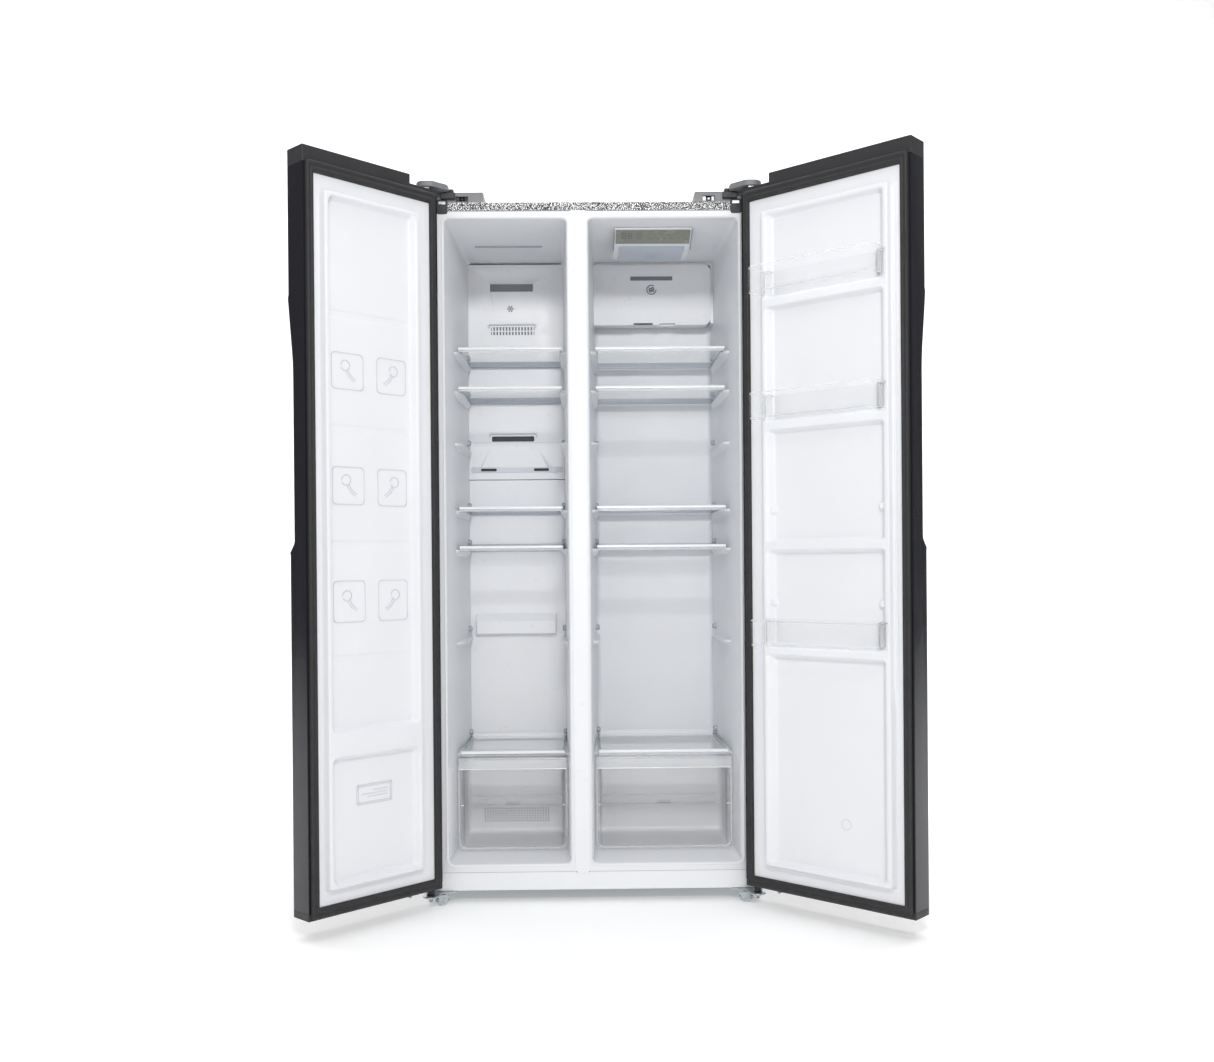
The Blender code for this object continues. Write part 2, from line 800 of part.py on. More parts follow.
# ---------------------------------------------------------------- hinges
def top_hinge(label, side, pivot_x, parent):
    """A strap that steps up from the cabinet's top over the door, and the cover on it."""
    low = SHELL_TOP + GAP
    arm = NOTCH_Z + 0.0025
    tip = -PIVOT_FORWARD - 0.015
    strap = [
        (0.090, low),
        (0.090, low + 0.003),
        (0.023, low + 0.003),
        (0.023, arm + 0.003),
        (tip, arm + 0.003),
        (tip, arm),
        (0.020, arm),
        (0.020, low),
    ]
    x = sorted((pivot_x - 0.012, pivot_x + 0.012))
    hinge = outline(f"top_hinge_{label}", strap, *x, "YZ", ZINC, parent)
    pin = cylinder(
        f"top_pin_{label}",
        (pivot_x, -PIVOT_FORWARD, arm - 0.006),
        0.004,
        0.016,
        "Z",
        parent=parent,
        sides=16,
    )
    join(hinge, pin)

    outer = side * (WIDTH / 2 - 0.001)
    inner = side * 0.262
    plan_x = sorted((outer, inner))
    wall = 0.002
    cover_z = (low, 1.7580)
    cover = block(
        f"top_hinge_cover_{label}", plan_x, (0.002, 0.105), cover_z, GREY, parent
    )
    near = side * (WIDTH / 2 + 0.004)
    far = side * 0.346
    cap = [
        (near, 0.012),
        (near, -0.046),
        (side * 0.408, -PIVOT_FORWARD - 0.019),
        (side * 0.378, -PIVOT_FORWARD - 0.019),
        (far, -0.020),
        (far, 0.012),
    ]
    cap_low = arm + 0.003 + GAP
    cap_high = 1.7685
    join(cover, outline(f"arm_cap_{label}", cap, cap_low, cap_high, "XY", parent=parent))
    room_x = (plan_x[0] + wall, plan_x[1] - wall)
    room = block(
        f"cover_room_{label}", room_x, (-0.01, 0.103), (low - 0.01, cap_low), parent=parent
    )
    cut(cover, room)


def bottom_hinge(label, side, pivot_x, parent):
    """A bracket under the base with a half-moon end, a collar and a pin up into the door."""
    high = BASE_Z - GAP
    low = high - 0.004
    radius = 0.020
    reach = side * (WIDTH / 2 - 0.001)
    back = 0.058
    inner = side * 0.338
    moon = [
        (pivot_x + side * x, y - PIVOT_FORWARD) for x, y in arc((0, 0), radius, 0, -180, 10)
    ]
    plan = [(reach, back), (reach, -0.006)] + moon + [(inner, 0.004), (inner, back)]
    bracket = outline(f"bottom_hinge_{label}", plan, low, high, "XY", ZINC, parent)
    collar = cylinder(
        f"collar_{label}",
        (pivot_x, -PIVOT_FORWARD, (high + DOOR_Z[0] - 0.001) / 2),
        0.009,
        DOOR_Z[0] - 0.001 - high + 0.001,
        "Z",
        parent=parent,
        sides=20,
    )
    pin = cylinder(
        f"bottom_pin_{label}",
        (pivot_x, -PIVOT_FORWARD, 0.036),
        0.004,
        0.044,
        "Z",
        parent=parent,
        sides=16,
    )
    join(bracket, collar, pin)


# ---------------------------------------------------------------- doors
def door_profile(wide, side, inset=0.0):
    """The door's plan about its pivot, rounded at both front edges; y grows towards the cabinet."""
    left = -PIVOT_IN + inset
    right = wide - PIVOT_IN - inset
    inner = PIVOT_TO_INNER - inset
    front = PIVOT_TO_INNER - DOOR_THICK + inset
    hinge = HINGE_EDGE_ROUND - inset
    free = FREE_EDGE_ROUND - inset
    points = (
        [(left, inner)]
        + arc((left + hinge, front + hinge), hinge, 180, 270)
        + arc((right - free, front + free), free, 270, 360)
        + [(right, inner)]
    )
    return [(side * x, y) for x, y in points]


def door_skin(name, wide, side, parent):
    """The front sheet wrapped round both edges, with a return on the inner side."""
    lip = 0.0235
    outside = door_profile(wide, side)
    inside = door_profile(wide, side, DOOR_SHEET)
    inner = PIVOT_TO_INNER
    near = side * (lip - PIVOT_IN)
    far = side * (wide - PIVOT_IN - lip)
    points = (
        [(near, inner)]
        + outside
        + [(far, inner), (far, inner - DOOR_SHEET)]
        + list(reversed(inside))
        + [(near, inner - DOOR_SHEET)]
    )
    z = (DOOR_Z[0] + BOTTOM_CAP + GAP, TOP_CAP_Z - GAP)
    return outline(name, points, *z, "XY", DOOR_PAINT, parent)


def pin_hole(name, z, length, parent):
    return cylinder(name, (0, 0, z), PIN_HOLE_R, length, "Z", parent=parent, sides=16)


def door_caps(name, wide, side, parent):
    plan = door_profile(wide, side)
    z = (DOOR_Z[0], DOOR_Z[0] + BOTTOM_CAP)
    bottom = outline(f"{name}_bottom_cap", plan, *z, "XY", CHARCOAL, parent)
    cut(bottom, pin_hole(f"{name}_low_hole", z[0], 0.050, parent))
    top = outline(f"{name}_top_cap", plan, TOP_CAP_Z, DOOR_Z[1], "XY", CHARCOAL, parent)
    notch_x = sorted((side * (-PIVOT_IN - 0.01), side * (NOTCH_LONG - PIVOT_IN)))
    notch = block(f"{name}_notch", notch_x, (-0.1, 0.1), (NOTCH_Z, 1.80), parent=parent)
    cut(top, notch, pin_hole(f"{name}_high_hole", NOTCH_Z, 0.025, parent))


def pocket_outline(grow):
    """Depth against height of the scooped grip, with a long slope at its top."""
    front = PIVOT_TO_INNER - DOOR_THICK
    low, low_end, high_start, high = POCKET_Z
    deep = front + POCKET_DEEP + grow
    return [
        (front - 0.005, low - grow - 0.005),
        (front, low - grow),
        (deep, low_end - grow),
        (deep, high_start + grow),
        (front, high + grow),
        (front - 0.005, high + grow + 0.010),
    ]


def pocket(name, wide, side, skin, foam, parent):
    """The grip insert in the door's free front edge, and its room in the skin and foam."""
    free = wide - PIVOT_IN
    front = PIVOT_TO_INNER - DOOR_THICK
    x = sorted((side * (free - POCKET_WIDE - POCKET_WALL), side * (free - 0.0002)))
    wall = pocket_outline(POCKET_WALL)
    insert = outline(f"{name}_grip", wall, *x, "YZ", CHARCOAL, parent)
    wide_x = sorted((side * (free - POCKET_WIDE), side * (free + 0.05)))
    scoop = outline(f"{name}_scoop", pocket_outline(0.0), *wide_x, "YZ", parent=parent)
    trim_x = sorted((side * (free - 0.08), side * (free + 0.02)))
    trim_y = (front - 0.02, front)
    trim = block(f"{name}_trim", trim_x, trim_y, (0.8, 1.5), parent=parent)
    cut(insert, scoop, trim)
    grow = POCKET_WALL + GAP
    room_x = sorted((side * (free - POCKET_WIDE - grow), side * (free + 0.05)))
    room = outline(f"{name}_grip_room", pocket_outline(grow), *room_x, "YZ", parent=parent)
    cut(skin, room)
    cut(foam, room)


def door_liner(name, wide, side, far, ledges, parent):
    """The inner panel: a flat sheet with a raised border, and ledges under the bins."""
    face = PIVOT_TO_INNER
    base_x = sorted((side * (0.025 - PIVOT_IN), side * (wide - 0.026 - PIVOT_IN)))
    panel = block(name, base_x, (face - 0.002, face), (0.076, 1.711), WHITE, parent)
    rim_x = sorted((side * (0.062 - PIVOT_IN), side * (far - PIVOT_IN)))
    rim_z = (0.106, 1.680)
    rim = block(f"{name}_rim", rim_x, (face - 0.001, face + DYKE), rim_z, parent=parent)
    inner_x = (rim_x[0] + DYKE_WIDE, rim_x[1] - DYKE_WIDE)
    heights = [rim_z[0] + DYKE_WIDE] + [z for ledge in ledges for z in ledge]
    heights.append(rim_z[1] - DYKE_WIDE)
    for index in range(0, len(heights), 2):
        room = block(
            f"{name}_recess_{index}",
            inner_x,
            (face + 0.0004, face + 0.1),
            (heights[index], heights[index + 1]),
            parent=parent,
        )
        cut(rim, room)
    join(panel, rim)


def gasket(name, wide, side, parent):
    face = PIVOT_TO_INNER + GAP
    y = (face, PIVOT_TO_INNER + 0.010)
    outer_x = sorted((side * (0.010 - PIVOT_IN), side * (wide - 0.006 - PIVOT_IN)))
    inner_x = sorted((side * (0.0245 - PIVOT_IN), side * (wide - 0.0255 - PIVOT_IN)))
    ring = block(name, outer_x, y, (0.052, 1.737), RUBBER, parent)
    hole = block(f"{name}_hole", inner_x, (0.0, 0.1), (0.0755, 1.7115), parent=parent)
    cut(ring, hole)


def bin_plan(side, inset):
    """A bin's plan: narrow between the door's borders, wider in front of them, rounded outside."""
    near, far = 0.0700 + inset, 0.4020 - inset
    throat_near, throat_far = 0.0768 + inset, 0.3932 - inset
    back = PIVOT_TO_INNER + GAP + 0.0004 + inset
    knee = PIVOT_TO_INNER + DYKE + 0.0006 + inset
    front = PIVOT_TO_INNER + BIN_REACH - inset
    radius = BIN_ROUND - inset
    shoulder = knee + 0.003
    points = (
        [(throat_near, back), (throat_near, knee), (near, shoulder)]
        + arc((near + radius, front - radius), radius, 180, 90)
        + arc((far - radius, front - radius), radius, 90, 0)
        + [(far, shoulder), (throat_far, knee), (throat_far, back)]
    )
    return [(side * (along - PIVOT_IN), out) for along, out in points]


def door_bins(side, parent):
    for index, (low, high) in enumerate(BIN_LEVELS, 1):
        name = f"door_bin_{index}"
        tray = outline(name, bin_plan(side, 0.0), low, high, "XY", CLEAR, parent)
        room = outline(
            f"{name}_room",
            bin_plan(side, BIN_WALL),
            low + BIN_WALL,
            high + 0.05,
            "XY",
            parent=parent,
        )
        cut(tray, room)


def door(name, wide, side, pivot_x, opening, far, ledges, parent):
    swing = empty(
        f"{name}_pivot", (pivot_x, -PIVOT_FORWARD, 0.0), parent, side * -radians(opening)
    )
    skin = door_skin(f"{name}_skin", wide, side, swing)
    door_caps(name, wide, side, swing)
    plan = door_profile(wide, side, DOOR_SHEET + FOAM_GAP)
    plan = [(x, min(y, PIVOT_TO_INNER - 0.002 - FOAM_GAP)) for x, y in plan]
    foam_z = (DOOR_Z[0] + BOTTOM_CAP + FOAM_GAP, TOP_CAP_Z - FOAM_GAP)
    foam = outline(f"{name}_foam", plan, *foam_z, "XY", FOAM, swing)
    pocket(name, wide, side, skin, foam, swing)
    door_liner(f"{name}_liner", wide, side, far, ledges, swing)
    gasket(f"{name}_gasket", wide, side, swing)
    return swing


def footprint_centre():
    """The middle of the box round the cabinet and both open doors."""
    reach = []
    for wide, opening in (
        (FREEZER_DOOR_WIDE, FREEZER_DOOR_OPEN),
        (FRIDGE_DOOR_WIDE, FRIDGE_DOOR_OPEN),
    ):
        turn = radians(opening)
        free = wide - PIVOT_IN
        outward = -cos(turn) * free + sin(turn) * (DOOR_THICK - PIVOT_TO_INNER)
        reach.append(outward)
    left = FREEZER_PIVOT_X - reach[0]
    right = FRIDGE_PIVOT_X + reach[1]
    turn = radians(FRIDGE_DOOR_OPEN)
    along = 0.4020 - BIN_ROUND - PIVOT_IN
    out = PIVOT_TO_INNER + BIN_REACH - BIN_ROUND
    front = -PIVOT_FORWARD - sin(turn) * along + cos(turn) * out - BIN_ROUND
    return (left + right) / 2, (front + INLET_BACK) / 2


# ---------------------------------------------------------------- the refrigerator
def build():
    centre = footprint_centre()
    cabinet = empty("cabinet_frame", (-centre[0], -centre[1], 0.0))
    outer_cabinet(cabinet)
    base_pan(cabinet)
    liner(
        "freezer_liner",
        FREEZER_X,
        (-SHEET_X, FLANGE_SPLIT - GAP / 2),
        FREEZER_SHELF_X,
        FREEZER_SHELF_BACK,
        cabinet,
    )
    liner(
        "fridge_liner",
        FRIDGE_X,
        (FLANGE_SPLIT + GAP / 2, SHEET_X),
        FRIDGE_SHELF_X,
        FRIDGE_SHELF_BACK,
        cabinet,
    )
    insulation(cabinet)
    freezer_covers(cabinet)
    fridge_duct(cabinet)
    control_unit(cabinet)
    shelves(cabinet)
    drawer("freezer_drawer", (-0.342, -0.075), (-0.3500, -0.0670), cabinet)
    drawer("crisper_drawer", (0.014, 0.351), (0.0060, 0.3590), cabinet)
    evaporator(cabinet)
    evaporator_fan(cabinet)
    compressor_bay(cabinet)
    feet_and_rollers(cabinet)
    for label, side, pivot_x in (
        ("left", -1, FREEZER_PIVOT_X),
        ("right", 1, FRIDGE_PIVOT_X),
    ):
        top_hinge(label, side, pivot_x, cabinet)
        bottom_hinge(label, side, pivot_x, cabinet)
    door(
        "freezer_door",
        FREEZER_DOOR_WIDE,
        1,
        FREEZER_PIVOT_X,
        FREEZER_DOOR_OPEN,
        0.335,
        ((0.406, 0.460),),
        cabinet,
    )
    fridge_swing = door(
        "fridge_door",
        FRIDGE_DOOR_WIDE,
        -1,
        FRIDGE_PIVOT_X,
        FRIDGE_DOOR_OPEN,
        0.408,
        ((0.618, 0.637), (0.866, 0.885), (1.152, 1.170), (1.446, 1.465)),
        cabinet,
    )
    door_bins(-1, fridge_swing)
    for obj in PARTS.objects:
        if obj.type == "MESH":
            obj.data.shade_smooth()
            obj.data.set_sharp_from_angle(angle=radians(30))


build()
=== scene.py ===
"""Looks of the side-by-side refrigerator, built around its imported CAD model."""

import json
from math import cos, hypot, pi, radians, sin

import bmesh
import bpy
from mathutils import Matrix, Vector


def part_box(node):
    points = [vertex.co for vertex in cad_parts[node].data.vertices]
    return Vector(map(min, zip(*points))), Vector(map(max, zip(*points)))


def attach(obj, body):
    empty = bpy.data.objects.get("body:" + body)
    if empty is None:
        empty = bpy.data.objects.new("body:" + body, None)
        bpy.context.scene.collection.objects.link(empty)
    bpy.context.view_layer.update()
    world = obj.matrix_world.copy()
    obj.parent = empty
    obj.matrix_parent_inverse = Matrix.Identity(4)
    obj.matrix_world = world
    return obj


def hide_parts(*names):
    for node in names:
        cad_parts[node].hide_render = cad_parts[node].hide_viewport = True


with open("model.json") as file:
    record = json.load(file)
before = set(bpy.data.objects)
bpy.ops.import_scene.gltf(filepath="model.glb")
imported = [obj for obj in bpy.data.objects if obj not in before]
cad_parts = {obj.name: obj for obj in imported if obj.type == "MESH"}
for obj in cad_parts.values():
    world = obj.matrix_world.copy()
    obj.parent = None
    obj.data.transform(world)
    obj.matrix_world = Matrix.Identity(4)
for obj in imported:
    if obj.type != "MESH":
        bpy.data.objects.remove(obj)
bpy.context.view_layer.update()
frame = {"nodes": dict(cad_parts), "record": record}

# ---------------------------------------------------------------- the CAD model's own places
LEFT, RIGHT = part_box("side_panel_left")[0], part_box("side_panel_right")[1]
WIDTH = RIGHT.x - LEFT.x
CENTRE = Vector(((LEFT.x + RIGHT.x) / 2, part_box("top_panel")[0].y, 0.0))
JOINTS = {joint["name"]: joint for joint in frame["record"]["behaviour"]["joints"]}
# A door's inner face, measured from its hinge's axis towards the cabinet, and its thickness.
INNER_FACE, DOOR_THICK = 0.025, 0.065


def cabinet(x, y, z):
    """A point given from the cabinet's centre line, front plane and floor, in the row frame."""
    return CENTRE + Vector((x, y, z))


def in_row(x, y, z):
    """A point already given in the row frame."""
    return Vector((x, y, z))


def span(node):
    """A cabinet node's limits, as (low, high) along x, y and z from the cabinet's own zero."""
    low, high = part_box(node)
    return [(low[i] - CENTRE[i], high[i] - CENTRE[i]) for i in range(3)]


class Door:
    """Turns (along from the hinge edge, out towards the cabinet, up) into the row frame."""

    def __init__(self, name, side, wide, far):
        joint = JOINTS[f"{name}_hinge"]
        x, y, _ = joint["pos_m"]
        self.name, self.side, self.wide, self.far = name, side, wide, far
        self.pivot = Vector((x, y, 0.0))
        self.pivot_in = WIDTH / 2 - abs(x - CENTRE.x)
        self.turn = Matrix.Rotation(side * radians(joint["range_deg"][0]), 3, "Z")

    def __call__(self, along, out, z):
        local = Vector((self.side * (along - self.pivot_in), out, z))
        return self.pivot + self.turn @ local

    def panel(self, along, lift, z):
        """A point given by its height above the door's inner face."""
        return self(along, INNER_FACE + lift, z)


# A door's width, and where the raised border of its inner panel ends on the free side.
FREEZER = Door("freezer_door", 1, 0.375, 0.335)
FRIDGE = Door("fridge_door", -1, 0.452, 0.408)


# ---------------------------------------------------------------- materials
class Nodes:
    """A short way to lay out a material's nodes."""

    def __init__(self, name):
        self.material = bpy.data.materials.new(name)
        self.material.use_nodes = True
        self.tree = self.material.node_tree
        self.shader = self.tree.nodes["Principled BSDF"]
        self.place = self.add("ShaderNodeTexCoord").outputs["Object"]

    def add(self, kind, **inputs):
        node = self.tree.nodes.new(kind)
        for key, value in inputs.items():
            self.set(node.inputs[key.replace("_", " ")], value)
        return node

    def set(self, socket, value):
        if isinstance(value, bpy.types.NodeSocket):
            self.tree.links.new(value, socket)
        else:
            socket.default_value = value

    def noise(self, scale, detail=2.0, stretch=None, roughness=0.5):
        place = self.place
        if stretch:
            place = self.add("ShaderNodeMapping", Vector=place, Scale=stretch).outputs[0]
        made = self.add("ShaderNodeTexNoise", Vector=place, Scale=scale, Detail=detail)
        made.inputs["Roughness"].default_value = roughness
        return made.outputs["Fac"]

    def ramp(self, factor, *stops):
        """Grey levels or colours at places from 0 to 1."""
        made = self.add("ShaderNodeValToRGB", Fac=factor)
        band = made.color_ramp
        while len(band.elements) < len(stops):
            band.elements.new(0.5)
        for element, (where, level) in zip(band.elements, stops):
            element.position = where
            element.color = (*level, 1.0) if isinstance(level, tuple) else (level,) * 3 + (1.0,)
        return made.outputs["Color"]

    def bump(self, *layers):
        """Stacks (height socket, strength, distance) layers and ends in the shader's normal."""
        normal = None
        for height, strength, distance in layers:
            made = self.add("ShaderNodeBump", Height=height, Strength=strength, Distance=distance)
            if normal:
                self.set(made.inputs["Normal"], normal)
            normal = made.outputs["Normal"]
        self.set(self.shader.inputs["Normal"], normal)


def shade(colour, factor):
    return tuple(min(1.0, channel * factor) for channel in colour)


def finish(name, colour, rough, metal=0.0, coat=0.0, alpha=1.0, mottle=0.014, grain=900.0,
           relief=0.04, specular=0.5, stretch=None):
    """A moulded or painted surface: faint blotches, uneven gloss and a fine grain."""
    nodes = Nodes(name)
    blotch = nodes.noise(5.0, 4.0, stretch)
    tint = nodes.ramp(blotch, (0.3, shade(colour, 1 - mottle)), (0.7, shade(colour, 1 + mottle)))
    gloss = nodes.noise(38.0, 3.0, stretch)
    nodes.set(nodes.shader.inputs["Base Color"], tint)
    low, high = max(0.02, rough * 0.85), min(1.0, rough * 1.2)
    nodes.set(nodes.shader.inputs["Roughness"], nodes.ramp(gloss, (0.3, low), (0.7, high)))
    nodes.bump(
        (nodes.noise(grain, 2.0, stretch), relief, 0.0004),
        (nodes.noise(7.0, 1.0), relief * 0.5, 0.001),
    )
    nodes.shader.inputs["Metallic"].default_value = metal
    nodes.shader.inputs["Coat Weight"].default_value = coat
    nodes.shader.inputs["Specular IOR Level"].default_value = specular
    nodes.shader.inputs["Alpha"].default_value = alpha
    return nodes


def stucco():
    """Rolled steel sheet with a raised leather-like grain under clear lacquer."""
    nodes = Nodes("stucco_steel")
    cells = nodes.noise(400.0, 2.0, (1.0, 1.0, 0.8), 0.6)
    nodes.set(
        nodes.shader.inputs["Base Color"],
        nodes.ramp(cells, (0.42, 0.01), (0.49, 0.05), (0.54, 0.3), (0.6, 0.85)),
    )
    nodes.set(nodes.shader.inputs["Roughness"], nodes.ramp(cells, (0.4, 0.65), (0.6, 0.4)))
    nodes.shader.inputs["Metallic"].default_value = 0.35
    nodes.bump((cells, 0.6, 0.0008))
    return nodes


def zinc():
    """Zinc plate: soft spangles and a bluish passivated tint."""
    nodes = Nodes("zinc_steel")
    spangle = nodes.add("ShaderNodeTexVoronoi", Vector=nodes.place, Scale=160.0)
    spangle.feature = "SMOOTH_F1"
    tint = nodes.ramp(
        spangle.outputs["Distance"], (0.1, (0.42, 0.47, 0.49)), (0.8, (0.55, 0.6, 0.62))
    )
    nodes.set(nodes.shader.inputs["Base Color"], tint)
    nodes.set(
        nodes.shader.inputs["Roughness"], nodes.ramp(nodes.noise(60.0), (0.3, 0.25), (0.7, 0.42))
    )
    nodes.shader.inputs["Metallic"].default_value = 0.9
    nodes.bump((nodes.noise(90.0), 0.04, 0.0004))
    return nodes


# Each look: the record's slot it belongs to (None for a slot of its own name), its colour,
# its roughness and what else sets it apart.
FINISHES = {
    "white_plastic": (None, (0.85, 0.858, 0.878), 0.32, {"relief": 0.015}),
    "liner_white": (None, (0.82, 0.83, 0.855), 0.36, {"relief": 0.02, "grain": 700.0}),
    "side_paint": (None, (0.06, 0.062, 0.068), 0.38, {"grain": 1200.0, "relief": 0.25}),
    "foam": (None, (0.8, 0.72, 0.42), 0.9, {"mottle": 0.12, "grain": 300.0, "relief": 0.5}),
    "display_face": (None, (0.27, 0.275, 0.235), 0.25, {"coat": 0.4}),
    "lamp_lens": (None, (0.62, 0.69, 0.8), 0.22, {"coat": 0.3, "alpha": 0.85}),
    "grey_plastic": (None, (0.2, 0.205, 0.215), 0.42, {"relief": 0.15}),
    "black_paint": (None, (0.014, 0.014, 0.016), 0.25, {"coat": 0.5, "relief": 0.2}),
    "black_plastic": (None, (0.025, 0.025, 0.028), 0.5, {"relief": 0.2}),
    "bare_aluminium": (
        None, (0.72, 0.73, 0.74), 0.3, {"metal": 0.9, "stretch": (1.0, 1.0, 12.0)}
    ),
    "shelf_glass": (
        None, (0.78, 0.84, 0.87), 0.06, {"alpha": 0.14, "specular": 0.9, "relief": 0.01}
    ),
    "clear_plastic": (
        None, (0.9, 0.92, 0.95), 0.1, {"alpha": 0.055, "specular": 0.9, "relief": 0.02}
    ),
    "door_paint": (
        None, (0.011, 0.011, 0.016), 0.2,
        {"coat": 0.2, "specular": 0.35, "stretch": (1.0, 1.0, 0.25), "relief": 0.012},
    ),
    "charcoal_plastic": (None, (0.034, 0.033, 0.036), 0.45, {"specular": 0.4}),
    "gasket_rubber": (None, (0.028, 0.027, 0.029), 0.6, {"relief": 0.08, "specular": 0.4}),
    # vent_dark, vent_grey, soft_grey and panel_line are darker copies of the plastics. vent_dark
    # and panel_line are painted shade. vent_grey is painted shade in slots, holes and seams, and
    # also colours the mullion screws and the control's end strips. soft_grey is the painted shadow
    # under the hood lips and also colours the ceiling's lamp slot.
    "vent_dark": ("black_plastic", (0.05, 0.055, 0.065), 0.6, {}),
    "vent_grey": ("white_plastic", (0.22, 0.23, 0.25), 0.5, {}),
    "print_grey": ("white_plastic", (0.13, 0.14, 0.16), 0.4, {}),
    "trim_white": ("white_plastic", (0.84, 0.85, 0.86), 0.22, {}),
    "strip_grey": ("white_plastic", (0.66, 0.68, 0.73), 0.3, {}),
    "soft_grey": ("liner_white", (0.44, 0.45, 0.49), 0.4, {}),
    "panel_line": ("liner_white", (0.66, 0.67, 0.7), 0.4, {}),
    "rubber_tyre": ("black_plastic", (0.03, 0.03, 0.03), 0.7, {}),
    "trim_blue": ("shelf_glass", (0.46, 0.5, 0.57), 0.2, {"alpha": 0.75}),
    "clear_edge": ("clear_plastic", (0.92, 0.93, 0.95), 0.08, {"alpha": 0.36, "specular": 0.9}),
    "glass_edge": ("shelf_glass", (0.42, 0.55, 0.54), 0.1, {"alpha": 0.7, "specular": 0.9}),
    "shelf_nosing": ("shelf_glass", (0.8, 0.83, 0.87), 0.15, {"alpha": 0.34, "specular": 0.9}),
}
LOOKS = {
    "stucco_steel": (stucco().material, "stucco_steel"),
    "zinc_steel": (zinc().material, "zinc_steel"),
}
for name, (slot, colour, rough, more) in FINISHES.items():
    LOOKS[name] = (finish(name, colour, rough, **more).material, slot or name)
SHADOWLESS = ("clear_plastic", "shelf_glass", "shelf_nosing")


# ---------------------------------------------------------------- mesh building
def mesh_of(name, made, place):
    """Ends a bmesh given in local coordinates as a mesh in the row frame."""
    for vert in made.verts:
        vert.co = place(*vert.co)
    bmesh.ops.recalc_face_normals(made, faces=made.faces)
    mesh = bpy.data.meshes.new(name)
    made.to_mesh(mesh)
    made.free()
    return mesh


def linked(name, data):
    obj = bpy.data.objects.new(name, data)
    bpy.context.scene.collection.objects.link(obj)
    return obj


def piece(name, made, place, body, look, replaces=(), rounding=0.0, sharp=35):
    """Turns a bmesh in local coordinates into a finished object that rides on a body."""
    mesh = mesh_of(name, made, place)
    material, slot = LOOKS[look]
    mesh.materials.append(material)
    mesh.shade_smooth()
    mesh.set_sharp_from_angle(angle=radians(sharp))
    obj = linked(name, mesh)
    if rounding:
        soften(obj, rounding)
    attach(obj, body)
    obj.visible_shadow = look not in SHADOWLESS
    if replaces:
        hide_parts(*replaces)
    return obj


def fixed(name, made, look, replaces=(), rounding=0.0, sharp=35):
    """A piece in cabinet coordinates that stays with the cabinet."""
    return piece(name, made, cabinet, "cabinet", look, replaces, rounding, sharp)


def soften(obj, width):
    """Rounds the sharp edges that an object has so far."""
    bevel = obj.modifiers.new("round", "BEVEL")
    bevel.width = width
    bevel.segments = 3
    bevel.limit_method = "ANGLE"
    bevel.harden_normals = True


AXES = {
    "XY": lambda u, v, w: (u, v, w),
    "YZ": lambda u, v, w: (w, u, v),
    "XZ": lambda u, v, w: (u, w, v),
}


def prism(points, low, high, plane="XY", made=None):
    """A flat outline given thickness between low and high across its plane."""
    made = made or bmesh.new()
    turn = AXES[plane]
    rings = [[made.verts.new(turn(u, v, w)) for u, v in points] for w in (low, high)]
    for ring in rings:
        made.faces.new(ring)
    walls(made, *rings)
    return made


def walls(made, one, other):
    for index in range(len(one)):
        after = (index + 1) % len(one)
        made.faces.new((one[index], one[after], other[after], other[index]))


def block(x, y, z, made=None):
    corners = [(x[0], y[0]), (x[1], y[0]), (x[1], y[1]), (x[0], y[1])]
    return prism(corners, z[0], z[1], "XY", made)


def arc(centre, radius, start, end, steps=8):
    turns = [radians(start + (end - start) * step / steps) for step in range(steps + 1)]
    return [(centre[0] + radius * cos(t), centre[1] + radius * sin(t)) for t in turns]


def rounded(x, z, radii, steps=6):
    """A rectangle's outline with a radius for each corner, from low left round by low right."""
    corners = ((x[0], z[0], 1, 1, 180), (x[1], z[0], -1, 1, 270))
    corners += ((x[1], z[1], -1, -1, 0), (x[0], z[1], 1, -1, 90))
    points = []
    for (cx, cz, right, up, start), radius in zip(corners, radii):
        centre = (cx + right * radius, cz + up * radius)
        points += arc(centre, radius, start, start + 90, steps)
    return points


def rings(loops, made=None, closed=False):
    """Joins loops of equal length into a skin; the two end loops are filled unless it closes."""
    made = made or bmesh.new()
    rows = [[made.verts.new(point) for point in loop] for loop in loops]
    for one, other in zip(rows, rows[1:]):
        walls(made, one, other)
    if closed:
        walls(made, rows[-1], rows[0])
    else:
        made.faces.new(rows[0])
        made.faces.new(rows[-1])
    return made


def turned(profile, centre, axis="Z", steps=32, made=None):
    """A closed profile of (radius, height) turned about an axis through centre."""
    turn = {"Z": (0, 1, 2), "Y": (0, 2, 1), "X": (2, 0, 1)}[axis]
    loops = []
    for radius, height in profile:
        loop = []
        for step in range(steps):
            angle = 2 * pi * step / steps
            flat = (max(radius, 1e-5) * cos(angle), max(radius, 1e-5) * sin(angle), height)
            loop.append(tuple(centre[i] + flat[turn[i]] for i in range(3)))
        loops.append(loop)
    return rings(loops, made)


def tube(path, radius, made=None, sides=8, across=(0, 1, 0)):
    """A bar that follows a path; across is a direction that the path never takes."""
    path = [Vector(point) for point in path]
    up = Vector(across)
    loops = []
    for index, point in enumerate(path):
        before, after = path[max(index - 1, 0)], path[min(index + 1, len(path) - 1)]
        ahead = (after - before).normalized()
        side = ahead.cross(up).normalized()
        loop = []
        for step in range(sides):
            angle = 2 * pi * step / sides
            loop.append(point + radius * (side * cos(angle) + up * sin(angle)))
        loops.append(loop)
    return rings(loops, made)


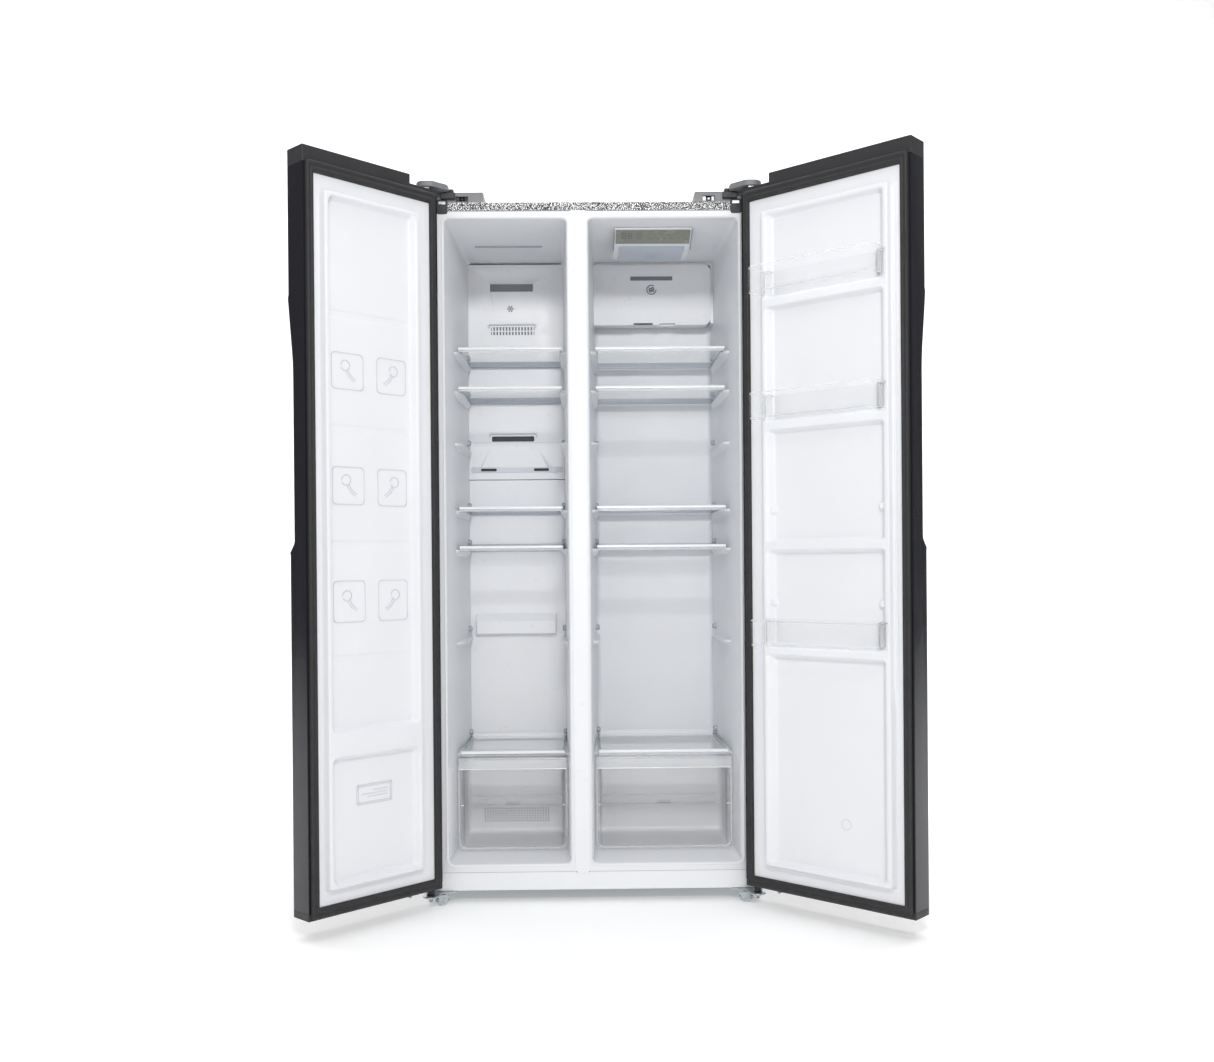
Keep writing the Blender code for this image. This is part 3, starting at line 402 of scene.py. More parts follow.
def relief(us, vs, height, back):
    """A closed slab whose front follows height(u, v) over a grid; local (u, height, v)."""
    made = bmesh.new()
    grid = [[made.verts.new((u, height(u, v), v)) for v in vs] for u in us]
    for left, right in zip(grid, grid[1:]):
        for index in range(len(vs) - 1):
            made.faces.new((left[index], left[index + 1], right[index + 1], right[index]))
    rim = [column[0] for column in grid] + grid[-1][1:]
    rim += [column[-1] for column in reversed(grid[:-1])] + list(reversed(grid[0][1:-1]))
    rear = [made.verts.new((vert.co.x, back, vert.co.z)) for vert in rim]
    walls(made, rim, rear)
    made.faces.new(rear)
    return made


def ticks(low, high, coarse, edges, reach=0.008, fine=0.002):
    """Grid lines: coarse everywhere and fine around each edge."""
    count = max(1, round((high - low) / coarse))
    marks = {low + (high - low) * step / count for step in range(1, count)}
    steps = int(reach / fine)
    for edge in edges:
        marks |= {edge + fine * step for step in range(-steps, steps + 1)}
    kept = [low]
    for mark in sorted(marks):
        if kept[-1] + fine * 0.45 < mark < high - fine * 0.45:
            kept.append(mark)
    return kept + [high]


def smooth(value, width):
    """Rises from 0 to 1 as value goes from 0 to width."""
    step = min(1.0, max(0.0, value / width))
    return step * step * (3 - 2 * step)


def inside(u, v, us, vs, radius):
    """How far a point lies inside a rounded rectangle, negative outside it."""
    du = abs(u - (us[0] + us[1]) / 2) - (us[1] - us[0]) / 2 + radius
    dv = abs(v - (vs[0] + vs[1]) / 2) - (vs[1] - vs[0]) / 2 + radius
    return radius - hypot(max(du, 0), max(dv, 0)) - min(max(du, dv), 0)


def cut(obj, made, place=cabinet, operation="DIFFERENCE"):
    """Combines an object for good with a bmesh given in local coordinates."""
    cutter = linked("cut", mesh_of("cut", made, place))
    change = obj.modifiers.new("cut", "BOOLEAN")
    change.operation = operation
    change.solver = "EXACT"
    change.object = cutter
    graph = bpy.context.evaluated_depsgraph_get()
    carved = bpy.data.meshes.new_from_object(obj.evaluated_get(graph), depsgraph=graph)
    obj.modifiers.clear()
    obj.data = carved
    carved.shade_smooth()
    carved.set_sharp_from_angle(angle=radians(30))
    bpy.data.objects.remove(cutter, do_unlink=True)
    return obj


UP = (0, 0, 1)


def mm(*points, u=0.0, v=0.0):
    """Points given in millimetres from (u, v)."""
    return [(u + du / 1000, v + dv / 1000) for du, dv in points]


# ---------------------------------------------------------------- cabinet shell
def strokes(paths, width, y, made=None):
    """Flat bars along polylines of (x, z) points, between two depths."""
    made = made or bmesh.new()
    for path in paths:
        for (x1, z1), (x2, z2) in zip(path, path[1:]):
            long = hypot(x2 - x1, z2 - z1) or 1e-6
            ux, uz = (x2 - x1) / long * width / 2, (z2 - z1) / long * width / 2
            corners = [
                (x1 - ux - uz, z1 - uz + ux),
                (x2 + ux - uz, z2 + uz + ux),
                (x2 + ux + uz, z2 + uz - ux),
                (x1 - ux + uz, z1 - uz - ux),
            ]
            prism(corners, y[0], y[1], "XZ", made)
    return made


def sheet(name, node, us, vs, height):
    """A zinc sheet with a pressed relief facing the back, in place of a plain CAD sheet."""
    front = span(node)[1][1] - 0.0012
    made = relief(us, vs, height, -0.0011)
    place = lambda u, lift, v: cabinet(u, front + lift, v)
    piece(name, made, place, "cabinet", "zinc_steel", (node,))


def back_sheets():
    """The back sheet with its upright beads, and the louvred cover of the compressor bay."""
    x, _, z = span("back_panel")
    half = 0.012
    columns = [x[0] + (x[1] - x[0]) * share for share in (0.14, 0.38, 0.62, 0.86)]
    rows = (z[0] + 0.1, z[1] - 0.1)
    fine = [edge + reach for edge in columns for reach in (-half, half)]

    def beaded(u, v):
        depths = (inside(u, v, (edge - half, edge + half), rows, 0.011) for edge in columns)
        return 0.0012 - 0.0012 * max(smooth(depth, 0.006) for depth in depths)

    vs = ticks(*z, 0.1, rows, 0.014)
    sheet("back_sheet", "back_panel", ticks(*x, 0.08, fine), vs, beaded)

    x, y, z = span("compartment_cover")
    lefts = (-0.34, -0.22, -0.1, 0.02)
    lows = [0.075 + 0.03 * row for row in range(5)]
    wide, tall, overlap = 0.09, 0.008, 0.006

    def louvred(u, v):
        best = 0.0
        for low in lows:
            for left in lefts:
                depth = inside(u, v, (left, left + wide), (low - overlap, low + tall), 0.003)
                if depth > 0:
                    best = smooth(depth, 0.003) * (low + tall - v) / (tall + overlap)
        return 0.0012 + 0.003 * best

    us = ticks(*x, 0.05, [edge for left in lefts for edge in (left, left + wide)], 0.004)
    vs = ticks(*z, 0.03, [edge for low in lows for edge in (low, low + tall)], 0.008)
    sheet("louvred_cover", "compartment_cover", us, vs, louvred)
    screws = bmesh.new()
    head = mm((0, 0), (4, 0), (3.6, 1.4), (2, 2), (0, 2))
    for u in (x[0] + 0.015, -0.16, 0.14, x[1] - 0.015):
        for v in (z[0] + 0.012, z[1] - 0.012):
            turned(head, (u, y[1], v), "Y", 16, screws)
    fixed("cover_screws", screws, "zinc_steel")


def inlet():
    """The mains inlet: a rounded housing round a recess with three blades."""
    x, y, z = span("power_inlet")
    outside, edge, throat = [
        rounded((x[0] + in_x, x[1] - in_x), (z[0] + in_z, z[1] - in_z), (0.006,) * 4)
        for in_x, in_z in ((0.0, 0.0), (0.0015, 0.0015), (0.012, 0.008))
    ]
    floor, front = y[0] + 0.001, y[1]
    rows = ((outside, y[0]), (outside, front - 0.0015), (edge, front), (throat, front))
    rows += ((throat, floor),)
    loops = [[(u, deep, v) for u, v in loop] for loop, deep in rows]
    fixed("inlet_housing", rings(loops), "black_plastic", ("power_inlet",))
    blades = bmesh.new()
    for across, up in ((-0.009, -0.003), (0.009, -0.003), (0.0, 0.005)):
        u, v = sum(x) / 2 + across, sum(z) / 2 + up
        block((u - 0.001, u + 0.001), (floor, y[1] - 0.001), (v - 0.003, v + 0.003), blades)
    fixed("inlet_blades", blades, "zinc_steel", rounding=0.0004)


# The rooms: soft lip of the mouth, inner corners, taper of the side walls, and their limits.
LIP, CORNER, DRAFT = 0.006, 0.013, 0.0363
ROOM_BACK, ROOM_LOW, ROOM_HIGH = 0.4985, 0.094, 1.692
STEP_FRONT, STEP_TOP = 0.36, 0.29
FLANGE_Z = (0.0748, 1.7107)


def room(name, opening, flange):
    """A compartment's moulded skin with a soft lip round its mouth, and the flange round that."""
    start = LIP + 0.0005
    side = [(start, ROOM_LOW), (STEP_FRONT, ROOM_LOW), (STEP_FRONT, STEP_TOP)]
    side += [(ROOM_BACK, STEP_TOP), (ROOM_BACK, ROOM_HIGH), (start, ROOM_HIGH)]
    made = prism(side, *opening, "YZ")
    middle = sum(opening) / 2
    for vert in made.verts:
        vert.co.x += DRAFT * vert.co.y * (1 if vert.co.x < middle else -1)
    bmesh.ops.recalc_face_normals(made, faces=made.faces)
    mouth = [face for face in made.faces if all(vert.co.y < start + 1e-4 for vert in face.verts)]
    edges = [edge for edge in made.edges if any(vert.co.y > start + 1e-3 for vert in edge.verts)]
    bmesh.ops.delete(made, geom=mouth, context="FACES_ONLY")
    bmesh.ops.bevel(
        made, geom=edges, offset=CORNER, segments=6, profile=0.5, affect="EDGES",
        clamp_overlap=False,
    )
    rim = [edge for edge in made.edges if edge.is_boundary]
    across = (opening[0] + DRAFT * start, opening[1] - DRAFT * start)
    for turn in (22.5, 45.0, 67.5, 90.0):
        grown = bmesh.ops.extrude_edge_only(made, edges=rim)["geom"]
        rim = [item for item in grown if isinstance(item, bmesh.types.BMEdge)]
        before, now = radians(turn - 22.5), radians(turn)
        wide, deep = LIP * (cos(before) - cos(now)), LIP * (sin(now) - sin(before))
        for vert in {vert for edge in rim for vert in edge.verts}:
            near_x = min(max(vert.co.x, across[0] + CORNER), across[1] - CORNER)
            near_z = min(max(vert.co.z, ROOM_LOW + CORNER), ROOM_HIGH - CORNER)
            away = Vector((vert.co.x - near_x, 0.0, vert.co.z - near_z)).normalized()
            vert.co += away * wide - Vector((0.0, deep, 0.0))
    skin = fixed(f"{name}_room", made, "liner_white", (f"{name}_liner",))
    thick = skin.modifiers.new("sheet", "SOLIDIFY")
    thick.thickness = 0.0012
    thick.offset = 0.0
    mouth_x = (across[0] - LIP, across[1] + LIP)
    hole = rounded(mouth_x, (ROOM_LOW - LIP, ROOM_HIGH + LIP), (CORNER + LIP,) * 4)
    edge = rounded(flange, FLANGE_Z, (0.0008,) * 4)
    front, rear = 0.0005, 0.0022
    rows = ((edge, front), (hole, front), (hole, rear), (edge, rear))
    loops = [[(u, deep, v) for u, v in loop] for loop, deep in rows]
    fixed(f"{name}_flange", rings(loops, closed=True), "liner_white", sharp=25)


RIB_LEVELS = (1.398, 1.296, 1.16, 0.984, 0.882, 0.64, 0.349)


def wall_ribs(name, opening, shelf_x, back):
    """Moulded shelf runners on both side walls, each with a keeper knob above its back end."""
    made = bmesh.new()
    knobs = bmesh.new()
    for level in RIB_LEVELS:
        for wall, edge, inward in ((opening[0], shelf_x[0], 1), (opening[1], shelf_x[1], -1)):
            top = level - 0.0055
            tip = edge + 0.0065 * inward
            start, end = 0.165, back - 0.008
            loops = []
            for y, share in ((start, 0.15), (start + 0.012, 0.75), (start + 0.03, 1.0), (end, 1.0)):
                root = wall + inward * (DRAFT * y - 0.0006)
                reach = root + (tip - root) * share
                low = top - 0.018 * (0.4 + 0.6 * share)
                loops.append(
                    [(root, y, top), (reach, y, top), (reach, y, top - 0.005), (root, y, low)]
                )
            rings(loops, made)
            root = wall + inward * (DRAFT * end - 0.0006)
            centre = (root, end - 0.022, top + 0.023)
            reach = inward * (abs(tip - root) + 0.001)
            profile = [(0.008, 0.0), (0.0075, reach * 0.8), (0.005, reach), (0.0, reach)]
            turned([(0.0, 0.0)] + profile, centre, "X", 20, knobs)
    fixed(f"{name}_runners", made, "liner_white", rounding=0.0018)
    fixed(f"{name}_keepers", knobs, "trim_blue")


def front_pads(name, opening):
    """Raised pads of the side walls beside the drawer's front."""
    made = bmesh.new()
    for wall, inward in ((opening[0], 1), (opening[1], -1)):
        loops = []
        for inset, lift in ((0.0, -0.0006), (0.0, 0.001), (0.0015, 0.0022)):
            loop = rounded((0.014 + inset, 0.126), (0.102 + inset, 0.343 - inset), (0.01,) * 4)
            loops.append([(wall + inward * (DRAFT * y + lift), y, z) for y, z in loop])
        rings(loops, made)
    fixed(f"{name}_front_pads", made, "liner_white")


def front_trims():
    """The strip over the post between the rooms, the rail below, and grey lines at the seams round
    both, which are painted shade in those gaps.
    """
    x, y, z = span("mullion_strip")
    fixed("mullion_trim", block(x, y, z), "white_plastic", ("mullion_strip",), 0.0009)
    screws = bmesh.new()
    head = mm((0, 0.6), (1.6, 0.6), (1.6, -0.1), (0, -0.1))
    for u in (x[0] + 0.003, x[1] - 0.003):
        turned(head, (u, y[0], z[0] + 0.0035), "Y", 14, screws)
    fixed("mullion_screws", screws, "vent_grey")
    fixed("rail_trim", block(*span("bottom_rail")), "white_plastic", ("bottom_rail",), 0.0006)
    # Grey lines along the flange's lower and upper edges: painted shade in the gaps there.
    seams = block((-0.414, 0.414), (0.0002, 0.0008), (0.0745, 0.0751))
    block((-0.414, 0.414), (-0.0002, 0.001), (1.7092, 1.7112), seams)
    fixed("front_seam_shadows", seams, "vent_grey")


# ---------------------------------------------------------------- air ducts and controls
def hood_line(x, z, drop, y, made):
    """A raised bracket-shaped lip over a vent."""
    curve = 0.008
    path = [(x[0], y, z - drop), (x[0] + 0.001, y, z - curve)]
    path += [(u, y, v) for u, v in arc((x[0] + curve, z - curve), curve, 170, 90, 6)]
    path += [(u, y, v) for u, v in arc((x[1] - curve, z - curve), curve, 90, 10, 6)]
    path += [(x[1] - 0.001, y, z - curve), (x[1], y, z - drop)]
    return tube(path, 0.0028, made, 10)


def vent_plate(name, x, z, face, vents, replaces):
    """A white cover with rounded slots cut into its front."""
    obj = fixed(name, block(x, (face, face + 0.03), z), "white_plastic", replaces, 0.003)
    for vent_x, vent_z in vents:
        corners = (min(0.003, (vent_z[1] - vent_z[0]) * 0.4),) * 4
        slot = prism(rounded(vent_x, vent_z, corners, 3), face - 0.01, face + 0.006, "XZ")
        cut(obj, slot)


def freezer_ducts():
    x, y, z = span("freezer_duct_cover")
    face = y[0]
    vents = (
        ((-0.281, -0.159), (1.61, 1.632)),
        ((-0.279, -0.156), (1.487, 1.51)),
        ((-0.279, -0.159), (1.185, 1.2)),
        ((-0.311, -0.266), (1.101, 1.109)),
        ((-0.161, -0.118), (1.101, 1.109)),
    )
    wall_to_wall = (x[0] - 0.0028, x[1] + 0.0028)
    upper = (z[0] - 0.0018, z[1] + 0.008)
    vent_plate("freezer_duct_face", wall_to_wall, upper, face, vents, ("freezer_duct_cover",))
    # The grey and dark sheets at the bottom of each slot are painted shade, standing for the dark
    # duct behind the vents.
    dark, grey = bmesh.new(), bmesh.new()
    for index, ((left, right), (low, high)) in enumerate(vents):
        made = grey if index < 2 else dark
        block((left, right), (face + 0.0045, face + 0.0058), (low, high), made)
    fixed("freezer_vent_painted_shade_dark", dark, "vent_dark")
    fixed("freezer_vent_painted_shade_grey", grey, "vent_grey")
    bars = bmesh.new()
    (left, right), (low, high) = vents[1]
    for index in range(14):
        u = left + (right - left) * (index + 0.5) / 14
        block((u - 0.0022, u + 0.0022), (face + 0.0012, face + 0.0045), (low, high), bars)
    middle = (low + high) / 2
    block((left, right), (face + 0.0014, face + 0.0045), (middle - 0.0015, middle + 0.0015), bars)
    fixed("freezer_grille_bars", bars, "white_plastic", rounding=0.0006)
    # Under each white lip a grey copy sits a little lower: a painted shadow beneath the lip.
    raised, shaded = bmesh.new(), bmesh.new()
    for level in (1.519, 1.21):
        hood_line((-0.288, -0.15), level, 0.012, face, raised)
        hood_line((-0.2865, -0.1515), level - 0.003, 0.009, face + 0.0014, shaded)
    fixed("freezer_hood_painted_shadows", shaded, "soft_grey")
    tube([(-0.313, face, 1.29), (-0.313, face, 1.262), (-0.302, face, 1.262)], 0.0012, raised, 6)
    fixed("freezer_hood_lips", raised, "white_plastic")
    lines = bmesh.new()
    block((x[0] + 0.001, x[1] - 0.001), (face - 0.0004, face + 0.002), (1.1815, 1.183), lines)
    fixed("freezer_face_seam", lines, "strip_grey")
    band = block((x[0] + 0.004, x[1] - 0.004), (face - 0.0016, face + 0.001), (1.097, 1.113))
    strip = fixed("freezer_vent_strip", band, "strip_grey", rounding=0.0007)
    for across, up in vents[3:]:
        cut(strip, block(across, (face - 0.01, face + 0.01), up))
    middle, flake = Vector((-0.2235, 1.561)), []
    for turn in range(6):
        angle = radians(60 * turn)
        ahead = Vector((cos(angle), sin(angle)))
        root = middle + ahead * 0.0052
        flake.append([middle, middle + ahead * 0.0085])
        for bend in (angle - 0.7, angle + 0.7):
            flake.append([root, root + Vector((cos(bend), sin(bend))) * 0.003])
    made = strokes(flake, 0.0016, (face - 0.0006, face + 0.001))
    fixed("snowflake_print", made, "print_grey")

    x, y, z = span("freezer_return_cover")
    face = y[0] + 0.02
    wall_to_wall = (x[0] - 0.0028, x[1] + 0.0028)
    vent_plate("freezer_return_face", wall_to_wall, z, face, (), ("freezer_return_cover",))
    hood = []
    for u, lean in ((-327, 4), (-324, 0), (-103, 0), (-100, 4)):
        side = [(1, 700 - lean), (-4, 694 - lean), (lean - 20, 676), (lean - 20, 642)]
        side += [(-17, 640), (1, 640)]
        hood.append([(u / 1000, deep, up) for deep, up in mm(*side, u=face)])
    fixed("return_hood", rings(hood), "white_plastic", rounding=0.0016)
    creases = bmesh.new()
    for level in (1.052, 1.058):
        block((x[0] + 0.012, x[1] - 0.012), (face - 0.0006, face), (level - 0.0006, level), creases)
    fixed("return_creases", creases, "white_plastic")


def ceiling_slot():
    """The covered lamp slot under the freezer's ceiling."""
    outline = rounded((-0.307, -0.126), (0.253, 0.267), (0.004,) * 4, 4)
    made = prism(outline, 1.6895, 1.6935)
    fixed("freezer_ceiling_slot", made, "soft_grey", rounding=0.0008)


def fridge_duct():
    """The fridge's air duct: a plate with one rounded corner, its slot and its outlets below."""
    x, y, z = span("fridge_air_duct")
    x = (x[0] - 0.004, x[1])
    face, back, crease, radii = y[0], y[1] - 0.002, 1.59, (0.001, 0.02, 0.02, 0.001)
    side = [(back, z[0]), (face + 0.01, z[0]), (face, crease), (face, z[1]), (back, z[1])]
    made = prism(side, *x, "YZ")
    obj = fixed("fridge_duct_face", made, "white_plastic", ("fridge_air_duct",))
    outline = prism(rounded(x, z, radii, 8), face - 0.01, y[1] + 0.01, "XZ")
    cut(obj, outline, operation="INTERSECT")
    slot_x, slot_z = (0.117, 0.236), (1.639, 1.651)
    cut(obj, block(slot_x, (face - 0.01, face + 0.006), slot_z))
    outlets = ((0.126, 0.18), (0.2, 0.243))
    for outlet in outlets:
        cut(obj, block(outlet, (face + 0.005, face + 0.022), (1.5, 1.5195)))
    soften(obj, 0.0035)
    # A grey sheet at the bottom of the slot and a dark one in the first outlet are painted shade
    # for these openings.
    fixed("fridge_vent_painted_shade", block(slot_x, (face + 0.0045, face + 0.0058), slot_z), "vent_grey")
    shade_back = block(outlets[0], (face + 0.0085, face + 0.0215), (1.518, 1.519))
    fixed("fridge_outlet_painted_shade", shade_back, "vent_dark")
    deep, top = (face + 0.009, ROOM_BACK), ROOM_HIGH - 0.0005
    fill = block((x[1] - 0.001, x[1] + 0.0075), deep, (z[0] + 0.004, top))
    block(x, deep, (z[1] - 0.001, top), fill)
    fixed("fridge_duct_fillers", fill, "white_plastic", rounding=0.001)
    # A thin grey line beside the duct's right and top edges is painted shade in the seam there.
    gap = 0.0012
    edge = rounded((x[0], x[1] + gap), (z[0], z[1] + gap), radii, 8)
    path = [(x[1] + gap, 1.64)] + edge[18:28]
    line = tube([(u, face + 0.012, v) for u, v in path], 0.0011, None, 6)
    fixed("fridge_duct_edge_shadow", line, "vent_grey")
    middle, level = 0.1765, 1.6125
    ring = [arc((middle, level), 0.013, 60, 355, 24)]
    waves = [
        [(middle + 0.0014 * i, level + lift + 0.0018 * sin(i * 0.75)) for i in range(-5, 6)]
        for lift in (-0.0045, 0.0, 0.0045)
    ]
    made = strokes(ring + waves, 0.0022, (face - 0.0006, face + 0.001))
    fixed("air_print", made, "print_grey")


def control_unit():
    """The sloped display housing under the fridge's ceiling and the lamp behind it."""
    x, y, z = span("control_housing")
    low, lip, knee = z[0], z[1] - 0.004, 0.13
    side = [(y[0], z[1]), (y[0], lip), (knee, low), (y[1], low), (y[1], z[1])]
    made = prism(side, *x, "YZ")
    fixed("control_body", made, "white_plastic", ("control_housing",), 0.0022)
    slope = (lip - low) / (knee - y[0])

    def on_slope(u, v, w):
        """u across, v from the slope's front edge back along it, w proud of it."""
        return cabinet(u, y[0] + v, lip - slope * v - w)

    ends = bmesh.new()
    for u in (x[0] - 0.001, x[1] - 0.0006):
        block((u, u + 0.0016), (0.002, knee - y[0] + 0.02), (-0.002, 0.0012), ends)
    piece("control_ends", ends, on_slope, "cabinet", "vent_grey")
    ridge = tube([(x[0] + 0.003, knee, low), (x[1] - 0.003, knee, low)], 0.0022, None, 10, UP)
    fixed("control_ridge", ridge, "trim_white")
    eight = mm((0, 0), (9, 0), (9, 9), (0, 9), (0, 0), (0, 18), (9, 18), (9, 9))
    bars = [[(x[0] + left + u, 0.012 + v) for u, v in eight] for left in (0.02, 0.036, 0.06)]
    for index in range(6):
        left = x[0] + 0.086 + 0.018 * index
        bars.append([(left, 0.014), (left, 0.02 + 0.006 * (index % 2))])
        bars.append([(left + 0.004, 0.03), (left + 0.01, 0.03)])
    digits = strokes(bars, 0.0012, (0.0022, 0.0027))
    piece("display_marks", digits, lambda u, w, v: on_slope(u, v, w), "cabinet", "print_grey")
    x, y, z = span("lamp_lens")
    pitch = 0.0085

    def ribbed(u, v):
        return 0.001 * abs(sin(u * pi / pitch))

    wave = relief(ticks(*x, 0.0042, ()), ticks(*y, 0.03, ()), ribbed, -0.002)
    place = lambda u, lift, v: cabinet(u, v, z[0] + 0.0012 - lift)
    piece("ribbed_lens", wave, place, "cabinet", "lamp_lens", ("lamp_lens",))


# ---------------------------------------------------------------- shelves and drawers
def shelf(node, rear_look="trim_blue"):
    """Tempered glass in a white front nosing, two side strips and a rear upstand."""
    x, y, z = span(node)
    front, back, level = *y, z[0] + 0.009
    inner = (x[0] + 0.002, x[1] - 0.002)
    glass = block(inner, (front + 0.006, back - 0.004), (level - 0.002, level + 0.002))
    fixed(f"{node}_glass", glass, "shelf_glass", (node,), 0.0008)
    bead = mm(
        (0, -3), (5, -3.2), (5.2, -2.1), (5.2, 2.1), (12, 2.2), (11, 3.6), (1, 3.4), (0, 2.2),
        u=front, v=level,
    )
    fixed(f"{node}_nosing", prism(bead, *x, "YZ"), "trim_white", sharp=50)
    apron = block(x, (front + 0.0012, front + 0.005), (level - 0.009, level - 0.0033))
    fixed(f"{node}_apron", apron, "shelf_nosing", rounding=0.001)
    rear = ((-10, -4.5), (0, -4.5), (0, 11.5), (-3, 12), (-4.5, 2.2), (-10, 2.2))
    made = prism(mm(*rear, u=back, v=level), *x, "YZ")
    fixed(f"{node}_upstand", made, rear_look, rounding=0.0006)
    strips, along = bmesh.new(), (front + 0.015, back - 0.0105)
    for low in (x[0], x[1] - 0.006):
        block((low, low + 0.006), along, (level - 0.004, level + 0.0032), strips)
    fixed(f"{node}_side_strips", strips, "glass_edge", rounding=0.0008)


def drawer(node):
    """A clear tub with a lip, and a front with a raised rim and a grip band along its top."""
    x, y, z = span(node)
    face, low, high = y[0], z[0] + 0.0005, z[1]
    sides, front = (x[0] + 0.0085, x[1] - 0.0085), face + 0.0045

    def part(name, made, look, *more, **options):
        piece(f"{node}_{name}", made, cabinet, node, look, *more, **options)

    loops = []
    for inset, height in mm(
        (10, 2), (4, 2.8), (1, 6), (0.4, 220), (0, 221), (0, 224), (3, 224), (3.4, 220), (3.6, 8.5),
        (7.5, 4.8), (14, 4.5),
    ):
        across, deep = (sides[0] + inset, sides[1] - inset), (front + inset * 0.3, y[1] - inset)
        loops.append([(u, v, z[0] + height) for u, v in rounded(across, deep, (0.012,) * 4, 5)])
    tub = piece(f"{node}_tub", rings(loops), cabinet, node, "clear_plastic", (node,), sharp=60)
    cut(tub, block(x, (face - 0.01, front + 0.0042), (z[0] - 0.01, high + 0.01)))
    radii = (0.02, 0.02, 0.004, 0.004)
    plate = prism(rounded(x, (low, high), radii, 8), face + 0.001, face + 0.004, "XZ")
    part("front", plate, "clear_plastic", sharp=50)
    loops = []
    for inset, deep in mm((0, 4.2), (0, -1.2), (1.2, -2.2), (4.2, -2), (5.2, 0.6), (5.2, 4.2)):
        across, up = (x[0] + inset, x[1] - inset), (low + inset, high - inset)
        inner = tuple(max(0.003, radius - inset) for radius in radii)
        loops.append([(u, face + deep, v) for u, v in rounded(across, up, inner, 8)])
    part("rim", rings(loops, closed=True), "clear_edge", sharp=50)
    band = mm(
        (1, -2), (-7.5, -3), (-9, -7), (-7, -27), (-4.5, -27.5), (-6.2, -7), (1, -5.5),
        u=face, v=high,
    )
    inner = (x[0] + 0.003, x[1] - 0.003)
    part("grip_band", prism(band, *inner, "YZ"), "clear_edge", rounding=0.0008, sharp=50)
    folds = tube([(u, face - 0.0058, high - 0.0275) for u in inner], 0.0013, None, 8, UP)
    for u in (x[0] + 0.01, x[1] - 0.01):
        for v in (low + 0.205, low + 0.11):
            block((u - 0.003, u + 0.003), (face + 0.0042, face + 0.008), (v, v + 0.003), folds)
    part("folds", folds, "trim_white")
    across, back, steps = (sides[0] + 0.012, sides[1] - 0.012), y[1] - 0.0046, bmesh.new()
    for level in (z[0] + 0.07, z[0] + 0.094):
        block(across, (back, back + 0.0008), (level, level + 0.0016), steps)
    part("back_steps", steps, "clear_edge")


def drawer_prints():
    """Small generic tick marks in place of the drawers' wording."""
    for node in ("freezer_drawer", "crisper_drawer"):
        x, y, z = span(node)
        marks = [mm((u, 118), (u, 122.5), u=sum(x) / 2, v=z[0]) for u in range(-16, 15, 6)]
        marks.append(mm((-18, 115.5), (16, 115.5), u=sum(x) / 2, v=z[0]))
        made = strokes(marks, 0.001, (y[0] + 0.0006, y[0] + 0.001))
        piece(f"{node}_scale", made, cabinet, node, "print_grey")


def step_grille():
    """The perforated air return low on the freezer's step, behind its drawer: grey triangles and
    dots on the wall as painted shade for the holes.
    """
    made, deep = bmesh.new(), (0.3585, 0.3597, "XZ")
    for column in range(25):
        for row in range(6):
            u, v = -0.3 + 0.0073 * column, 0.126 + 0.0068 * row
            if (column + row) % 2:
                prism(mm((-2.4, -2), (2.4, -2), (0, 2.6), u=u, v=v), *deep, made)
            else:
                prism(arc((u, v), 0.0021, 0, 315, 7), *deep, made)
    # The grey of these shapes is painted shade standing for the holes.
    fixed("freezer_step_hole_shade", made, "vent_grey")


# ---------------------------------------------------------------- doors
def door_profile(door, inset=0.0):
    """The door's plan from its hinge edge round the front to its free edge."""
    hinge, free = 0.012 - inset, 0.006 - inset
    back, front = INNER_FACE - inset, INNER_FACE - DOOR_THICK + inset
    points = [(inset, back)]
    points += arc((inset + hinge, front + hinge), hinge, 180, 270, 12)
    points += arc((door.wide - inset - free, front + free), free, 270, 360, 8)
    points.append((door.wide - inset, back))
    return points


def scoop(door, grow):
    """The room of the recessed grip in the free front edge, for cutting."""
    front = INNER_FACE - DOOR_THICK
    outline = [
        (front - 0.005, 0.859 - grow),
        (front, 0.864 - grow),
        (front + 0.02 + grow, 0.888 - grow),
        (front + 0.02 + grow, 1.288 + grow),
        (front, 1.443 + grow),
        (front - 0.005, 1.453 + grow),
    ]
    return prism(outline, door.wide - 0.03 - grow, door.wide + 0.05, "YZ")


def grip(door):
    """The grip's charcoal insert: a scooped channel with a long slope up to the front."""
    front = INNER_FACE - DOOR_THICK
    wall, edge = door.wide - 0.03, door.wide - 0.0006
    low, high, deepest, soft = 0.8643, 1.4427, 0.02, 0.004
    levels = [low + step * 0.003 for step in range(12)]
    levels += [low + 0.06 + step * 0.04 for step in range(9)]
    levels += [1.262 + step * 0.01 for step in range(18)] + [high]
    loops = []
    for z in levels:
        deep = max(0.0003, min((z - low) / 1.2, (high - z) / 7.75, deepest + soft))
        over = deep - deepest + soft
        if over > 0:
            deep -= over * over / (4 * soft)
        curve = min(0.007, deep * 0.8)
        inner = [(wall, front)] + arc((wall + curve, front + deep - curve), curve, 180, 90, 6)
        under = [(edge, front + deep), (edge, front + deep + 0.0018)]
        under += [(wall - 0.0018, front + deep + 0.0018), (wall - 0.0018, front)]
        loops.append([(along, out, z) for along, out in inner + under])
    name = f"{door.name}_grip"
    piece(f"{name}_insert", rings(loops), door, door.name, "charcoal_plastic", (name,), sharp=40)


